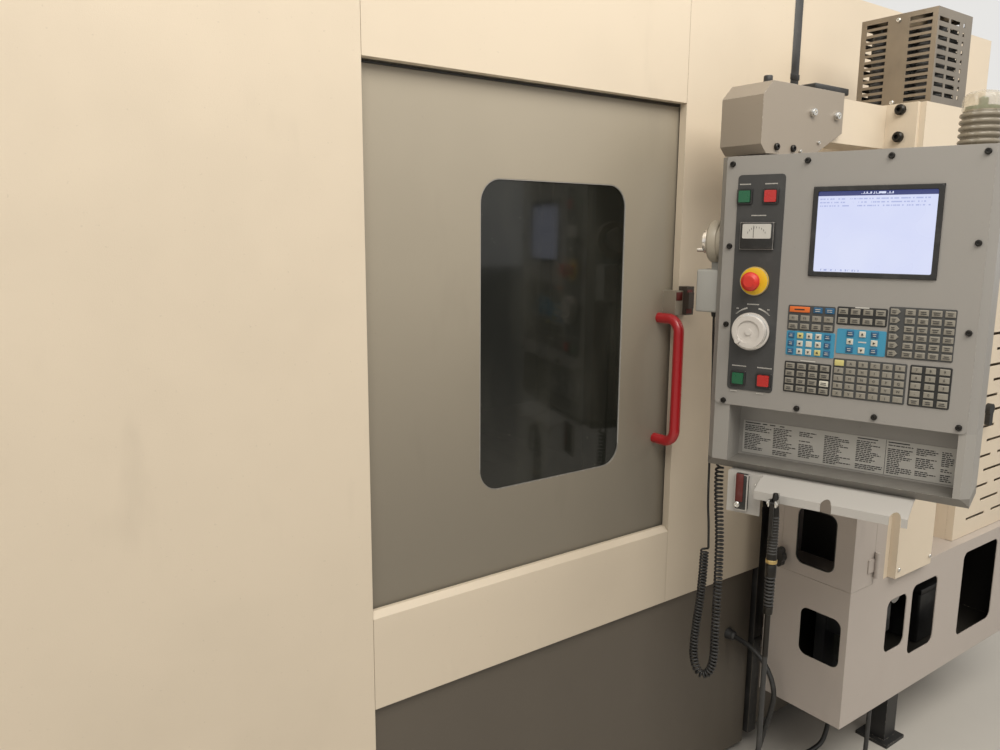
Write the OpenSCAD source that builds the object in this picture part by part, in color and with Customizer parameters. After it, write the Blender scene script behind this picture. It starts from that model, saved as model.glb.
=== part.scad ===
// Horizontal CNC machining center with a two-pallet changer.
// Millimetres. X runs to the right along the front, Y runs into the machine, Z is up.
// The origin is the middle of the front left levelling pad, on the floor.

/* [Enclosure] */
// Width of the front panel left of the door opening
left_w = 900; // [860:10:1000]
// Width of the door opening
door_w = 834; // [800:2:900]
// Width of the front panel right of the door opening
right_w = 388; // [370:2:410]
// Depth of the enclosure
body_d = 2700; // [2680:10:2900]
// Height of the roof above the floor
body_h = 2400; // [2360:10:2600]
// Height of the lower edge of the side sheets
body_z0 = 60; // [55:5:90]
// Thickness of the enclosure sheets
sheet = 3; // [2:0.5:4]
// Depth of the folded edges of the front panels
fold = 20; // [16:1:22]
// Gap at the seams between front panels
seam = 0.8; // [0.4:0.1:0.9]
// Height of the lower edge of the sill panel
sill_z0 = 585; // [560:5:620]
// Height of the lower edge of the door opening
door_z0 = 789; // [760:1:820]
// Height of the door opening
door_h = 1034; // [1000:2:1080]
// Size of the bevel along the top of the sill
sill_bevel = 12; // [6:1:16]
// Distance of the skirt behind the front panels
skirt_recess = 15; // [8:1:18]
// Height of the lower edge of the skirt
skirt_z0 = 30; // [20:5:50]
// Distance from the front and left faces to the first pad centre
pad_inset = 120; // [100:5:160]
// Width left between the fixed bulkheads for the turning partition
bulkhead_gap = 1300; // [1290:5:1340]

/* [Front door] */
// Distance of the door sheet behind the front panels
door_recess = 25; // [23:1:32]
// Overlap of the door behind each edge of the opening
door_lap = 15; // [8:1:20]
// Depth of the door's folded edges
door_fold = 30; // [24:1:34]
// Distance that the door slides to the left
door_travel = 750; // [600:10:760]
// Width of the window opening
win_w = 404; // [300:2:460]
// Height of the window opening
win_h = 654; // [500:2:700]
// Corner radius of the window opening
win_r = 50; // [30:1:80]
// Distance from the left edge of the opening to the window
win_x = 268; // [200:1:300]
// Distance from the lower edge of the opening to the window
win_z = 188; // [150:1:260]
// Thickness of the window pane
glass_t = 8; // [5:1:12]
// Width of the pane hidden behind each edge of the window opening
glass_lap = 18; // [12:1:26]
// Diameter of the handle bar
handle_d = 25; // [18:1:32]
// Distance between the handle legs
handle_len = 300; // [240:5:340]
// Distance from the door sheet to the middle of the bar
handle_out = 65; // [50:1:80]
// Distance from the right edge of the opening to the handle
handle_inset = 38; // [30:1:60]
// Height of the lower handle leg above the opening's lower edge
handle_z = 234; // [180:2:280]
// Height of the interlock block
lock_h = 68; // [50:1:90]

/* [Door rail] */
// Size of the square linear rail
rail = 30; // [24:1:36]
// Height of the beam behind the rail
beam_h = 70; // [60:1:90]

/* [Bed and column] */
// Height of the levelling pads
pad_h = 20; // [14:1:26]
// Diameter of the levelling pads
pad_d = 120; // [90:5:140]
// Diameter of the levelling studs
stud_d = 30; // [24:1:40]
// Height of the underside of the bed above the floor
bed_z0 = 50; // [46:1:54]
// Thickness of the bed's base slab
slab_t = 60; // [50:1:80]
// Height of the table ways above the floor
way_z = 560; // [540:5:580]
// Height of the guide rails
guide_h = 40; // [34:1:46]
// Width of the guide rails
guide_w = 45; // [35:1:55]
// Height of the column ways above the floor
column_way_z = 700; // [680:5:720]
// Width of the column
column_w = 600; // [560:10:620]
// Height of the column
column_h = 1500; // [1420:10:1560]
// Travel of the column to each side
column_travel = 254; // [200:1:256]
// Travel of the spindle head upwards
head_travel = 508; // [400:1:510]
// Travel of the table towards the spindle
table_travel = 508; // [400:1:510]
// Height of the spindle axis above the floor, head down
spindle_z = 1080; // [1070:1:1100]
// Diameter of the spindle nose
spindle_d = 110; // [90:1:120]
// Running clearance of shafts, on the radius
run_gap = 0.05; // [0.02:0.01:0.1]
// Clearance between pieces that slide past each other
slide_gap = 0.3; // [0.3:0.05:0.6]

/* [Pallet changer] */
// Side length of a pallet
pallet = 400; // [380:2:402]
// Thickness of a pallet
pallet_t = 60; // [50:1:70]
// Height of the pallet top when it is seated
pallet_z = 900; // [895:1:920]
// Distance from the changer axis to the middle of a pallet
pallet_r = 400; // [390:1:404]
// Distance that the changer lifts
lift = 80; // [70:1:85]
// Distance from the front face to the changer axis
changer_y = 780; // [775:1:790]
// Diameter of the lifting shaft
shaft_d = 160; // [140:2:180]
// Height of the partition
partition_h = 1000; // [900:10:1100]
// Spacing of the clamping slots in a pallet
slot_pitch = 80; // [60:5:90]

/* [Tool changer] */
// Number of tool pockets in the carousel
pockets = 40; // [24:2:44]
// Radius of the circle of pockets
pocket_r = 500; // [480:5:505]
// Diameter of the taper bore in a pocket
pocket_bore = 44; // [36:1:50]
// Reach of the tool change arm from its axis
arm_reach = 320; // [300:5:322]

/* [Chip auger] */
// Outside diameter of the auger flight
auger_d = 150; // [120:2:160]
// Pitch of the auger flight
auger_pitch = 180; // [140:5:220]

/* [Side bay] */
// Width of the bay behind the cabinets
bay_w = 1126; // [1090:2:1200]
// Depth of the bay
bay_d = 900; // [700:10:1200]
// Height of the bay's top above the floor
bay_h = 2170; // [2100:10:2300]

/* [Right cabinets] */
// Distance of the cabinets' left face inside the right edge of the front panels
cab_inset = 66; // [60:1:72]
// Distance of the air cabinet's face in front of the front panels
cab_out = 319; // [300:1:340]
// Length of the air cabinet
cab_w = 1010; // [1000:5:1150]
// Height of the air cabinet's underside above the floor
cab_z0 = 270; // [240:5:300]
// Height of the air cabinet's top above the floor
cab_z1 = 642; // [630:1:660]
// Depth of the air cabinet
cab_depth = 244; // [240:1:252]
// Depth of the corner door's side sheet
corner_side = 203; // [198:1:206]
// Way between the corner latch's tongue and the strip behind it
latch_gap = 3; // [2:0.5:3.5]
// Width of the front return of the corner door
corner_w = 98; // [85:1:110]
// Height of the top of the corner compartment above the floor
corner_z1 = 920; // [880:2:930]
// Width of the tall cabinet
tall_w = 205; // [190:5:210]
// Height of the tall cabinet's top above the floor
tall_z1 = 1835; // [1830:1:1850]
// Distance of the tall cabinet from the left face of the air cabinet
tall_x = 150; // [140:1:160]
// Distance of the electrical cabinet from the left face of the air cabinet
elec_x = 572; // [560:2:590]
// Width of the electrical cabinet
elec_w = 620; // [560:5:660]
// Height of the electrical cabinet's top above the floor
elec_z1 = 1740; // [1700:10:1800]
// Distance of the electrical cabinet's face in front of the front panels
elec_out = 294; // [280:1:300]
// Corner radius of the cabinet windows
port_r = 22; // [12:1:30]

/* [Boom arm] */
// Height of the arm tube
arm_h = 100; // [80:1:100]
// Depth of the arm tube
arm_d = 80; // [60:1:84]
// Height of the top of the arm above the floor
arm_z1 = 1832; // [1828:1:1835]
// Distance of the pendant axis right of the door opening
pivot_x = 40; // [30:1:60]
// Distance of the pendant axis in front of the front panels
pivot_out = 186; // [180:1:200]
// Diameter of the pendant's swivel post
post_d = 60; // [50:1:66]

/* [Pendant] */
// Angle of the pendant about its post
pendant_angle = -71.8; // [-75:0.1:-65]
// Width of the pendant
pend_w = 520; // [480:2:524]
// Bevel of the pendant housing's front edges
bevel = 15; // [10:1:18]
// Height of the pendant's face
pend_h = 529; // [520:1:540]
// Height of the pendant's lower edge above the floor
pend_z = 1155; // [1150:1:1160]
// Depth of the pendant housing
pend_d = 137; // [130:1:146]
// Distance from the left side of the pendant to its axis
pend_x = 49; // [44:1:56]
// Distance from the axis forwards to the pendant's face
face_out = 116; // [108:1:120]
// Thickness of the face plate
face_t = 3; // [2:0.5:4]
// Side length of the square push buttons
button = 24; // [18:1:26]
// Travel of the push buttons
button_travel = 3; // [2:0.5:4]
// Diameter of the emergency stop's collar
estop_ring = 60; // [50:1:64]
// Diameter of the emergency stop's mushroom
estop_d = 40; // [34:1:46]
// Diameter of the jog dial
dial_d = 80; // [70:1:84]
// Width of the screen
screen_w = 216; // [200:1:230]
// Height of the screen
screen_h = 160; // [150:1:166]
// Width of the bezel round the screen
bezel = 8; // [5:0.5:10]
// Diameter of the beacon
beacon_d = 74; // [60:1:76]
// Height of the beacon
beacon_h = 100; // [90:1:115]
// Diameter of the remote jog unit
remote_d = 94; // [90:1:106]

/* [Pendant tray] */
// Depth of the recess in the tray
tray_d = 75; // [60:1:90]
// Height of the tray under the housing
tray_h = 144; // [138:1:150]
// Width of the tray's front opening
tray_w = 443; // [400:1:450]
// Width of the tool hook bracket
hook_w = 298; // [290:2:306]
// Width of the notches in the hook bracket
notch_w = 22; // [16:1:26]

/* [Cords] */
// Diameter of the straight lead of the remote unit
lead_d = 6; // [5:0.5:8]
// Outside diameter of the curly cord
curl_d = 22; // [18:1:26]
// Diameter of the air hose
hose_d = 12; // [10:0.5:14]
// Diameter of the power cable from the skirt
cable_d = 14; // [10:0.5:18]

/* [Hidden] */
$fn = 48;

// Main lines of the enclosure
x_left = -pad_inset;
x_door0 = x_left + left_w;
x_door1 = x_door0 + door_w;
x_right = x_door1 + right_w;
y_front = -pad_inset;
y_back = y_front + body_d;
door_z1 = door_z0 + door_h;
y_panel = y_front + fold;
slab_z = bed_z0 + slab_t;
y_skirt = y_front + skirt_recess;
gland_x = x_right - 100;
gland_z = 405;

// Lines of the sliding door
y_door = y_front + door_recess;
y_door_in = y_door + door_fold;
door_mid = (x_door0 + x_door1) / 2;
handle_x = x_door1 - handle_inset;
handle_z0 = door_z0 + handle_z;
lock_z = handle_z0 + handle_len + 8;
lock_w = 26;
y_rail = y_door_in + 5;
rail_z = door_z1 + 37;

// Lines of the pallet changer
axis_x = door_mid;
axis_y = y_front + changer_y;
seat_z = pallet_z - pallet_t;
fork_z = seat_z + lift;
fork_t = 40;
table_y = axis_y + pallet_r;
tine_x = 150;
tine_w = 50;
hub_h = 60;

// Lines of the column, the head and the spindle
column_y = 2000;
column_d = 480;
column_z = column_way_z + guide_h + slide_gap;
head_y = column_y - slide_gap;
nose_y = 1700;
saddle_z = way_z + guide_h + slide_gap;
disc_z = saddle_z + 129.7 + slide_gap;

// Lines of the tool changer
carousel_y = 1300;
carousel_z = 1450;
frame_x = 60;
disc_x = 180;
arm_x = 623;
arm_y = 1640;

// Lines of the cabinets at the right
cab_x = x_right - cab_inset;
cab_y = y_front - cab_out;
cab_y1 = cab_y + cab_depth;
cab_rear = y_panel - 1;
tall_x0 = cab_x + tall_x;
elec_x0 = cab_x + elec_x;
elec_y = y_front - elec_out;
elec_door_t = 20;

// Lines of the arm and of the pendant
pend_ax = x_door1 + pivot_x;
pend_ay = y_front - pivot_out;
pend_z1 = pend_z + pend_h;
arm_z0 = arm_z1 - arm_h;
cover_z0 = pend_z1 + 8;
cover_z1 = 1840;
cover_x0 = pend_ax - 77;
cover_x1 = pend_ax + 216;
cover_d = 106;
face_y = -face_out;
box_y = face_y + face_t;
side_x = -pend_x;
strip_x = 40;
tray_z = pend_z - tray_h - sheet;

// A folded sheet panel, open at the back
module tray_panel(w, d, h, t) {
    difference() {
        cube([w, d, h]);
        translate([t, t, t])
            cube([w - 2 * t, d, h - 2 * t]);
    }
}

// A rectangle with round corners, centred
module round_rect(w, h, r) {
    square([w - 2 * r, h], center = true);
    square([w, h - 2 * r], center = true);
    for (sx = [-1, 1])
        for (sy = [-1, 1])
            translate([sx * (w / 2 - r), sy * (h / 2 - r)])
                circle(r = r);
}

// Extrudes a Y, Z outline along X
module along_x(len) {
    rotate([90, 0, 90])
        linear_extrude(len)
            children();
}

// Extrudes an X, Z outline along Y
module along_y(len) {
    translate([0, len, 0])
        rotate([90, 0, 0])
            linear_extrude(len)
                children();
}

// A cylinder that points along Y from the origin
module rod_y(d, len) {
    rotate([-90, 0, 0])
        cylinder(d = d, h = len);
}

// A cylinder that points along X from the origin
module rod_x(d, len) {
    rotate([0, 90, 0])
        cylinder(d = d, h = len);
}

// Places children in the pendant's own frame, its post on the Z axis
module on_pendant() {
    translate([pend_ax, pend_ay, 0])
        rotate([0, 0, pendant_angle])
            children();
}

// A tube swept along a list of points
function ring(c, dir, r, n) =
    let (side = norm(cross(dir, [0, 0, 1])) > 0.1 ? cross(dir, [0, 0, 1]) : cross(dir, [1, 0, 0]),
         a = side / norm(side),
         b = cross(dir, a) / norm(cross(dir, a)))
    [for (i = [0:n - 1]) c + r * (a * cos(360 * i / n) + b * sin(360 * i / n))];

module tube(path, r, n = 8) {
    last = len(path) - 1;
    rings = [for (k = [0:last])
        ring(path[k], path[min(k + 1, last)] - path[max(k - 1, 0)], r, n)];
    points = [for (one = rings) for (p = one) p];
    faces = concat(
        [[for (i = [0:n - 1]) i]],
        [[for (i = [n - 1:-1:0]) last * n + i]],
        [for (k = [0:last - 1]) for (i = [0:n - 1])
            [k * n + i, (k + 1) * n + i, (k + 1) * n + (i + 1) % n, k * n + (i + 1) % n]]);
    polyhedron(points, faces, convexity = 6);
}

// Enclosure sheets

module left_front_panel() {
    color("linen")
        translate([x_left, y_front, body_z0])
            tray_panel(left_w, fold, body_h - body_z0, sheet);
}

module door_header_panel() {
    color("linen")
        translate([x_door0 + seam, y_front, door_z1])
            tray_panel(door_w - 2 * seam, fold, body_h - door_z1, sheet);
}

module right_front_panel() {
    color("linen")
        translate([x_door1, y_front, sill_z0])
            tray_panel(right_w, fold, body_h - sill_z0, sheet);
}

module door_sill_panel() {
    sill_h = door_z0 - sill_z0;
    sill_w = door_w - 2 * seam;
    color("linen")
        translate([x_door0 + seam, y_front, sill_z0])
            difference() {
                along_x(sill_w)
                    polygon([[0, 0], [fold, 0], [fold, sill_h], [sill_bevel, sill_h],
                             [0, sill_h - sill_bevel]]);
                translate([sheet, 0, 0])
                    along_x(sill_w - 2 * sheet)
                        polygon([[sheet, sheet], [fold + 1, sheet], [fold + 1, sill_h - sheet],
                                 [sill_bevel + sheet / 2, sill_h - sheet],
                                 [sheet, sill_h - sill_bevel - sheet / 2]]);
            }
}

module base_skirt() {
    color("dimgray")
        translate([x_door0 + seam, y_skirt, skirt_z0])
            difference() {
                tray_panel(x_right - sheet - x_door0 - 2 * seam, fold, sill_z0 - skirt_z0, sheet);
                translate([gland_x - x_door0 - seam, -1, gland_z - skirt_z0])
                    rod_y(cable_d, sheet + 2);
            }
}

module enclosure_shell() {
    inside_w = x_right - x_left - 2 * sheet;
    color("linen") {
        difference() {
            translate([x_left, y_panel, body_z0])
                cube([x_right - x_left, y_back - y_panel, body_h - body_z0]);
            translate([x_left + sheet, y_panel - 1, body_z0 - 1])
                cube([inside_w, y_back - y_panel - sheet + 1, body_h - body_z0 - sheet + 1]);
            for (side = [0, 1])
                for (k = [0:8])
                    translate([x_left + 420 + side * 900, y_back - sheet - 1, 1500 + k * 40])
                        cube([300, sheet + 2, 12]);
        }
        translate([x_left + sheet, axis_y - 20, slab_z])
            cube([axis_x - bulkhead_gap / 2 - x_left - sheet, 40, body_h - sheet - slab_z]);
        translate([axis_x + bulkhead_gap / 2, axis_y - 20, slab_z])
            cube([x_right - sheet - axis_x - bulkhead_gap / 2, 40, body_h - sheet - slab_z]);
        // Bay behind the cabinets
        difference() {
            translate([x_right - sheet, y_panel, body_z0])
                cube([bay_w + sheet, bay_d, bay_h - body_z0]);
            translate([x_right, y_panel + sheet, body_z0 - 1])
                cube([bay_w - sheet, bay_d - 2 * sheet, bay_h - body_z0 - sheet + 1]);
        }
        // Cable duct along the seam of the front panel
        translate([x_right + seam, y_front, body_z0])
            difference() {
                cube([36, fold + 1, body_h - body_z0]);
                translate([2, 2, -1])
                    cube([32, fold - 3, body_h - body_z0 + 2]);
            }
    }
}

// Sliding door

module door_rail() {
    inside_w = x_right - x_left - 2 * sheet;
    color("gainsboro")
        translate([x_left + sheet, 0, 0]) {
            translate([0, y_rail + rail, rail_z - beam_h / 2])
                cube([inside_w, 40, beam_h]);
            translate([0, y_rail, rail_z - rail / 2])
                cube([inside_w, rail, rail]);
        }
}

module front_door() {
    hanger_z = rail_z + rail / 2 + slide_gap + 12;
    color("silver")
        union() {
            translate([0, y_door, 0])
                difference() {
                    translate([x_door0 - door_lap, 0, door_z0 - door_lap])
                        tray_panel(door_w + 2 * door_lap, door_fold, door_h + 2 * door_lap, sheet);
                    translate([x_door0 + win_x + win_w / 2, -1, door_z0 + win_z + win_h / 2])
                        along_y(sheet + 2)
                            round_rect(win_w, win_h, win_r);
                }
            for (x = [x_door0 + 60, x_door1 - 180])
                translate([x, 0, 0]) {
                    translate([0, y_door_in - sheet, door_z1 - 60])
                        cube([120, 5 + sheet - slide_gap, hanger_z - door_z1 + 60]);
                    for (z = [hanger_z - 12, rail_z - rail / 2 - slide_gap - 10])
                        translate([0, y_door_in, z])
                            cube([120, rail, z > rail_z ? 12 : 10]);
                }
            translate([x_door1 - slide_gap - lock_w, y_door - 40, lock_z])
                cube([lock_w, 40, lock_h - 10]);
        }
}

module door_window() {
    color("dimgray", 0.6)
        translate([x_door0 + win_x + win_w / 2, y_door + sheet, door_z0 + win_z + win_h / 2])
            along_y(glass_t)
                round_rect(win_w + 2 * glass_lap, win_h + 2 * glass_lap, win_r + glass_lap);
}

module door_handle() {
    bend = 32;
    color("firebrick")
        translate([handle_x, y_door, handle_z0]) {
            for (end = [0, 1])
                translate([0, 0, end * handle_len])
                    mirror([0, 0, end]) {
                        translate([0, -handle_out + bend, 0])
                            rod_y(handle_d, handle_out - bend);
                        translate([0, -handle_out + bend, bend])
                            rotate([0, -90, 0])
                                rotate([0, 0, 180])
                                    rotate_extrude(angle = 90)
                                        translate([bend, 0])
                                            circle(d = handle_d);
                    }
            translate([0, -handle_out, bend])
                cylinder(d = handle_d, h = handle_len - 2 * bend);
        }
}

module door_interlock() {
    color("saddlebrown")
        translate([x_door1 + slide_gap, y_front - 25, lock_z]) {
            cube([lock_w, 25, lock_h]);
            translate([0, -8, 16])
                cube([lock_w - 8, 9, lock_h - 30]);
        }
}

// Bed, column and table

module levelling_feet() {
    span_x = x_right - x_left - 2 * pad_inset;
    span_y = y_back - y_front - 2 * pad_inset;
    color("dimgray")
        for (ix = [0, 1])
            for (iy = [0:2])
                translate([ix * span_x, iy * span_y / 2, 0]) {
                    rotate_extrude()
                        polygon([[0, 0], [pad_d / 2, 0], [pad_d / 2, pad_h / 2],
                                 [pad_d / 3, pad_h], [stud_d / 2, pad_h],
                                 [stud_d / 2, bed_z0], [0, bed_z0]]);
                }
}

module bed_casting() {
    inside_w = x_right - x_left - 2 * sheet;
    bed_y = y_skirt + fold;
    inside_d = y_back - sheet - bed_y;
    way_w = 620;
    leg_y = axis_y + 190;
    boss_d = shaft_d + 100;
    color("slategray")
        difference() {
            union() {
                translate([x_left + sheet, bed_y, bed_z0])
                    cube([inside_w, inside_d, slab_t]);
                // Table bed, wider at its foot
                translate([axis_x, leg_y, slab_z])
                    along_y(column_y - 40 - leg_y)
                        polygon([[-way_w / 2 - 60, 0], [way_w / 2 + 60, 0], [way_w / 2, 200],
                                 [way_w / 2, way_z - slab_z], [-way_w / 2, way_z - slab_z],
                                 [-way_w / 2, 200]]);
                // Column bed across the rear
                translate([axis_x - 640, column_y - 40, slab_z])
                    cube([1280, column_d + 80, column_way_z - slab_z]);
                // Boss of the pallet changer
                translate([axis_x, axis_y, slab_z])
                    cylinder(d1 = boss_d + 80, d2 = boss_d, h = 560 - slab_z);
                // Stand of the load station with its four seats
                translate([axis_x, axis_y - pallet_r, slab_z]) {
                    cylinder(d = 320, h = 500);
                    cylinder(d = 210, h = seat_z - slab_z - 30);
                    for (sx = [-1, 1])
                        for (sy = [-1, 1])
                            translate([sx * 68, sy * 68, 0])
                                cylinder(d = 40, h = seat_z - slab_z - slide_gap);
                }
                // Bearing blocks of the chip auger
                for (y = [100, 1880])
                    translate([1620, y, slab_z])
                        cube([160, 40, 150]);
            }
            // Bore for the lifting shaft
            translate([axis_x, axis_y, slab_z + 20])
                cylinder(r = shaft_d / 2 + run_gap, h = 600);
            // Bore for the auger shaft
            translate([1700, 90, slab_z + 95])
                rod_y(40 + 2 * run_gap, 1850);
            // Chip troughs beside the table bed
            translate([1600, 160, slab_z - 20])
                cube([200, 1700, 21]);
            // Cored windows in the column bed
            for (sx = [-1, 0, 1])
                translate([axis_x + sx * 400 - 130, column_y + 60, slab_z + 120])
                    cube([260, column_d + 80, 320]);
        }
}

module guide_rails() {
    color("lightgray") {
        for (sx = [-1, 1])
            translate([axis_x + sx * 240 - guide_w / 2, axis_y + 195, way_z])
                cube([guide_w, column_y - 60 - axis_y - 195, guide_h]);
        for (y = [column_y + 40, column_y + column_d - 80])
            translate([axis_x - 630, y, column_way_z])
                cube([1260, guide_w, guide_h]);
    }
}

module column() {
    color("whitesmoke")
        difference() {
            union() {
                translate([axis_x - column_w / 2, column_y, column_z])
                    cube([column_w, column_d, 120]);
                translate([axis_x, column_y, column_z + 100])
                    along_y(column_d - 60)
                        polygon([[-column_w / 2, 0], [column_w / 2, 0], [column_w / 2 - 50, 300],
                                 [column_w / 2 - 50, column_h - 100],
                                 [-column_w / 2 + 50, column_h - 100],
                                 [-column_w / 2 + 50, 300]]);
            }
            // Window between the ways for the head's nut and motor
            translate([axis_x - 110, column_y - 1, column_z + 200])
                cube([220, 300, column_h - 300]);
        }
}

module spindle_head() {
    head_w = 340;
    color("whitesmoke")
        translate([axis_x, 0, spindle_z])
            difference() {
                union() {
                    translate([0, 1860, 0])
                        along_y(head_y - 1860)
                            polygon([[-head_w / 2, -150], [-head_w / 2 + 40, -190],
                                     [head_w / 2 - 40, -190], [head_w / 2, -150],
                                     [head_w / 2, 190], [-head_w / 2, 190]]);
                    translate([0, nose_y + 8, 0])
                        rotate([-90, 0, 0])
                            cylinder(d1 = spindle_d + 60, d2 = 250, h = 1862 - nose_y - 8);
                    translate([0, head_y - 1, 0])
                        rod_y(180, 240);
                }
                translate([0, nose_y - 1, 0])
                    rod_y(spindle_d + 2 * run_gap, 262);
            }
}

module spindle() {
    color("silver")
        translate([axis_x, nose_y, spindle_z])
            rotate([-90, 0, 0])
                difference() {
                    union() {
                        cylinder(d = spindle_d, h = 250);
                        for (a = [0, 180])
                            rotate([0, 0, a])
                                translate([26, -8, -6])
                                    cube([16, 16, 10]);
                    }
                    translate([0, 0, -1])
                        cylinder(d1 = pocket_bore + 0.6, d2 = 25, h = 68);
                    cylinder(d = 20, h = 160);
                }
}

module table_saddle() {
    color("slategray")
        translate([axis_x, table_y, saddle_z])
            difference() {
                union() {
                    translate([-300, -200, 0])
                        cube([600, 400, 70]);
                    cylinder(d = 390, h = 129.7);
                }
                translate([0, 0, 40])
                    cylinder(r = 60 + run_gap, h = 100);
            }
}

module rotary_table() {
    neck_z = seat_z - disc_z - 30;
    color("silver")
        translate([axis_x, table_y, disc_z]) {
            translate([0, 0, -60])
                cylinder(r = 60, h = 61);
            cylinder(d = 380, h = 35);
            cylinder(d = 210, h = neck_z);
            for (sx = [-1, 1])
                for (sy = [-1, 1])
                    translate([sx * 68, sy * 68, 0])
                        cylinder(d = 40, h = seat_z - disc_z - slide_gap);
        }
}

// Pallet changer

module changer_shaft() {
    color("silver")
        translate([axis_x, axis_y, 0]) {
            translate([0, 0, 250])
                cylinder(d = shaft_d, h = fork_z - fork_t - 20 - 250);
            translate([0, 0, fork_z - fork_t - 60])
                cylinder(d = shaft_d + 90, h = 60 - slide_gap);
            translate([0, 0, fork_z - fork_t - 20])
                cylinder(d = 80, h = 55);
        }
}

module changer_fork() {
    tine_len = 2 * (pallet_r + pallet / 2 - 20);
    color("goldenrod")
        translate([axis_x, axis_y, fork_z - fork_t])
            difference() {
                union() {
                    for (sx = [-1, 1])
                        translate([sx * tine_x - tine_w / 2, -tine_len / 2, 0])
                            cube([tine_w, tine_len, fork_t]);
                    translate([-tine_x, -170, 0])
                        cube([2 * tine_x, 340, fork_t]);
                    cylinder(d = 320, h = fork_t);
                }
                translate([0, 0, -1])
                    cylinder(r = 40 + run_gap, h = fork_t + 2);
            }
}

module partition_wall() {
    half = bulkhead_gap / 2 - 12;
    color("gainsboro")
        translate([axis_x, axis_y, fork_z]) {
            translate([-half, -3, 0])
                cube([2 * half, 6, partition_h]);
            for (x = [-half, -tine_x - 20, tine_x - 20, half - 40])
                translate([x, -20, 0])
                    cube([40, 40, partition_h]);
            translate([-half, -20, partition_h - 40])
                cube([2 * half, 40, 40]);
            translate([-half, -20, 0])
                cube([2 * half, 40, 40]);
        }
}

// A pallet with its clamping slots, its middle at the origin
module pallet_plate() {
    corner = 12;
    color("silver")
        difference() {
            linear_extrude(pallet_t)
                round_rect(pallet, pallet, corner);
            for (k = [-2:2])
                translate([k * slot_pitch, 0, 0]) {
                    translate([-7, -pallet / 2 - 1, pallet_t - 18])
                        cube([14, pallet + 2, 20]);
                    translate([-12, -pallet / 2 - 1, pallet_t - 30])
                        cube([24, pallet + 2, 13]);
                }
        }
}

module load_pallet() {
    translate([axis_x, axis_y - pallet_r, fork_z])
        pallet_plate();
}

module machining_pallet() {
    translate([axis_x, axis_y + pallet_r, fork_z])
        pallet_plate();
}

// Tool changer

module tool_changer_frame() {
    drive_x = arm_x - 100;
    color("slategray") {
        translate([frame_x, 0, 0])
            difference() {
                along_x(40)
                    polygon([[1150, slab_z], [1960, slab_z], [1960, 1180], [1520, 1620],
                             [1150, 1620]]);
                translate([-1, 1340, 400])
                    along_x(42)
                        square([320, 300]);
            }
        translate([frame_x + 40, carousel_y, carousel_z])
            rod_x(80, disc_x + 80 - frame_x - 40);
        translate([frame_x + 40, 1880, spindle_z - 100])
            cube([drive_x - frame_x - 40, 80, 200]);
        translate([drive_x, 1760, spindle_z - 110])
            cube([200, 200, 220]);
        translate([arm_x, arm_y + 50 + slide_gap, spindle_z])
            rod_y(140, 1762 - arm_y - 50 - slide_gap);
        translate([arm_x, arm_y + 6, spindle_z])
            rod_y(60, 60);
    }
}

module tool_carousel() {
    color("lightsteelblue")
        translate([disc_x, carousel_y, carousel_z])
            difference() {
                union() {
                    rod_x(2 * pocket_r + 74, 18);
                    rod_x(180, 60);
                    for (k = [0:pockets - 1])
                        rotate([360 * k / pockets, 0, 0])
                            translate([10, pocket_r, 0])
                                rod_x(62, 60);
                }
                translate([-1, 0, 0])
                    rod_x(80 + 2 * run_gap, 70);
                for (k = [0:pockets - 1])
                    rotate([360 * k / pockets, 0, 0])
                        translate([-1, pocket_r, 0])
                            rod_x(pocket_bore, 80);
                // Lightening holes
                for (k = [0:7])
                    rotate([45 * k, 0, 0])
                        translate([-1, pocket_r * 0.55, 0])
                            rod_x(170, 40);
            }
}

module tool_change_arm() {
    color("silver")
        translate([arm_x, arm_y, spindle_z])
            difference() {
                along_y(50)
                    union() {
                        round_rect(90, 2 * arm_reach + 60, 30);
                        circle(d = 160);
                    }
                for (end = [-1, 1])
                    translate([end * 24, -1, end * arm_reach]) {
                        rod_y(64, 52);
                        translate([end > 0 ? 0 : -60, 0, -26])
                            cube([60, 52, 52]);
                    }
                translate([0, 5, 0])
                    rod_y(60 + 2 * run_gap, 50);
            }
}

module chip_auger() {
    len = 1720;
    turns = len / auger_pitch;
    color("gray")
        translate([1700, 100, slab_z + 95]) {
            rod_y(40, 1820);
            translate([0, 55, 0])
                rotate([-90, 0, 0])
                    linear_extrude(height = len, twist = 360 * turns, slices = ceil(turns * 14),
                                   $fn = 4)
                        translate([-auger_d / 2, -3])
                            square([auger_d, 6]);
        }
}

// Cabinets at the right

// A vertical hinge pin with its fixed knuckles and leaf; the door's knuckle is in the middle
module hinge_fixed() {
    for (z = [0, 52])
        translate([0, 0, z])
            cylinder(d = 12, h = 16);
    cylinder(d = 6, h = 68);
    for (z = [0, 52])
        translate([0.5, 4.5, z])
            cube([30, 3.5, 16]);
}

module hinge_moving() {
    difference() {
        union() {
            translate([0, 0, 16 + slide_gap])
                cylinder(d = 12, h = 36 - 2 * slide_gap);
            translate([-30, 4.5, 16 + slide_gap])
                cube([30, 3.5, 36 - 2 * slide_gap]);
        }
        cylinder(d = 6 + 2 * run_gap, h = 70);
    }
}

corner_hinge = [cab_x + corner_w, cab_y - 8];
elec_hinge = [elec_x0 + elec_w - 32, elec_y - 8];

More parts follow.
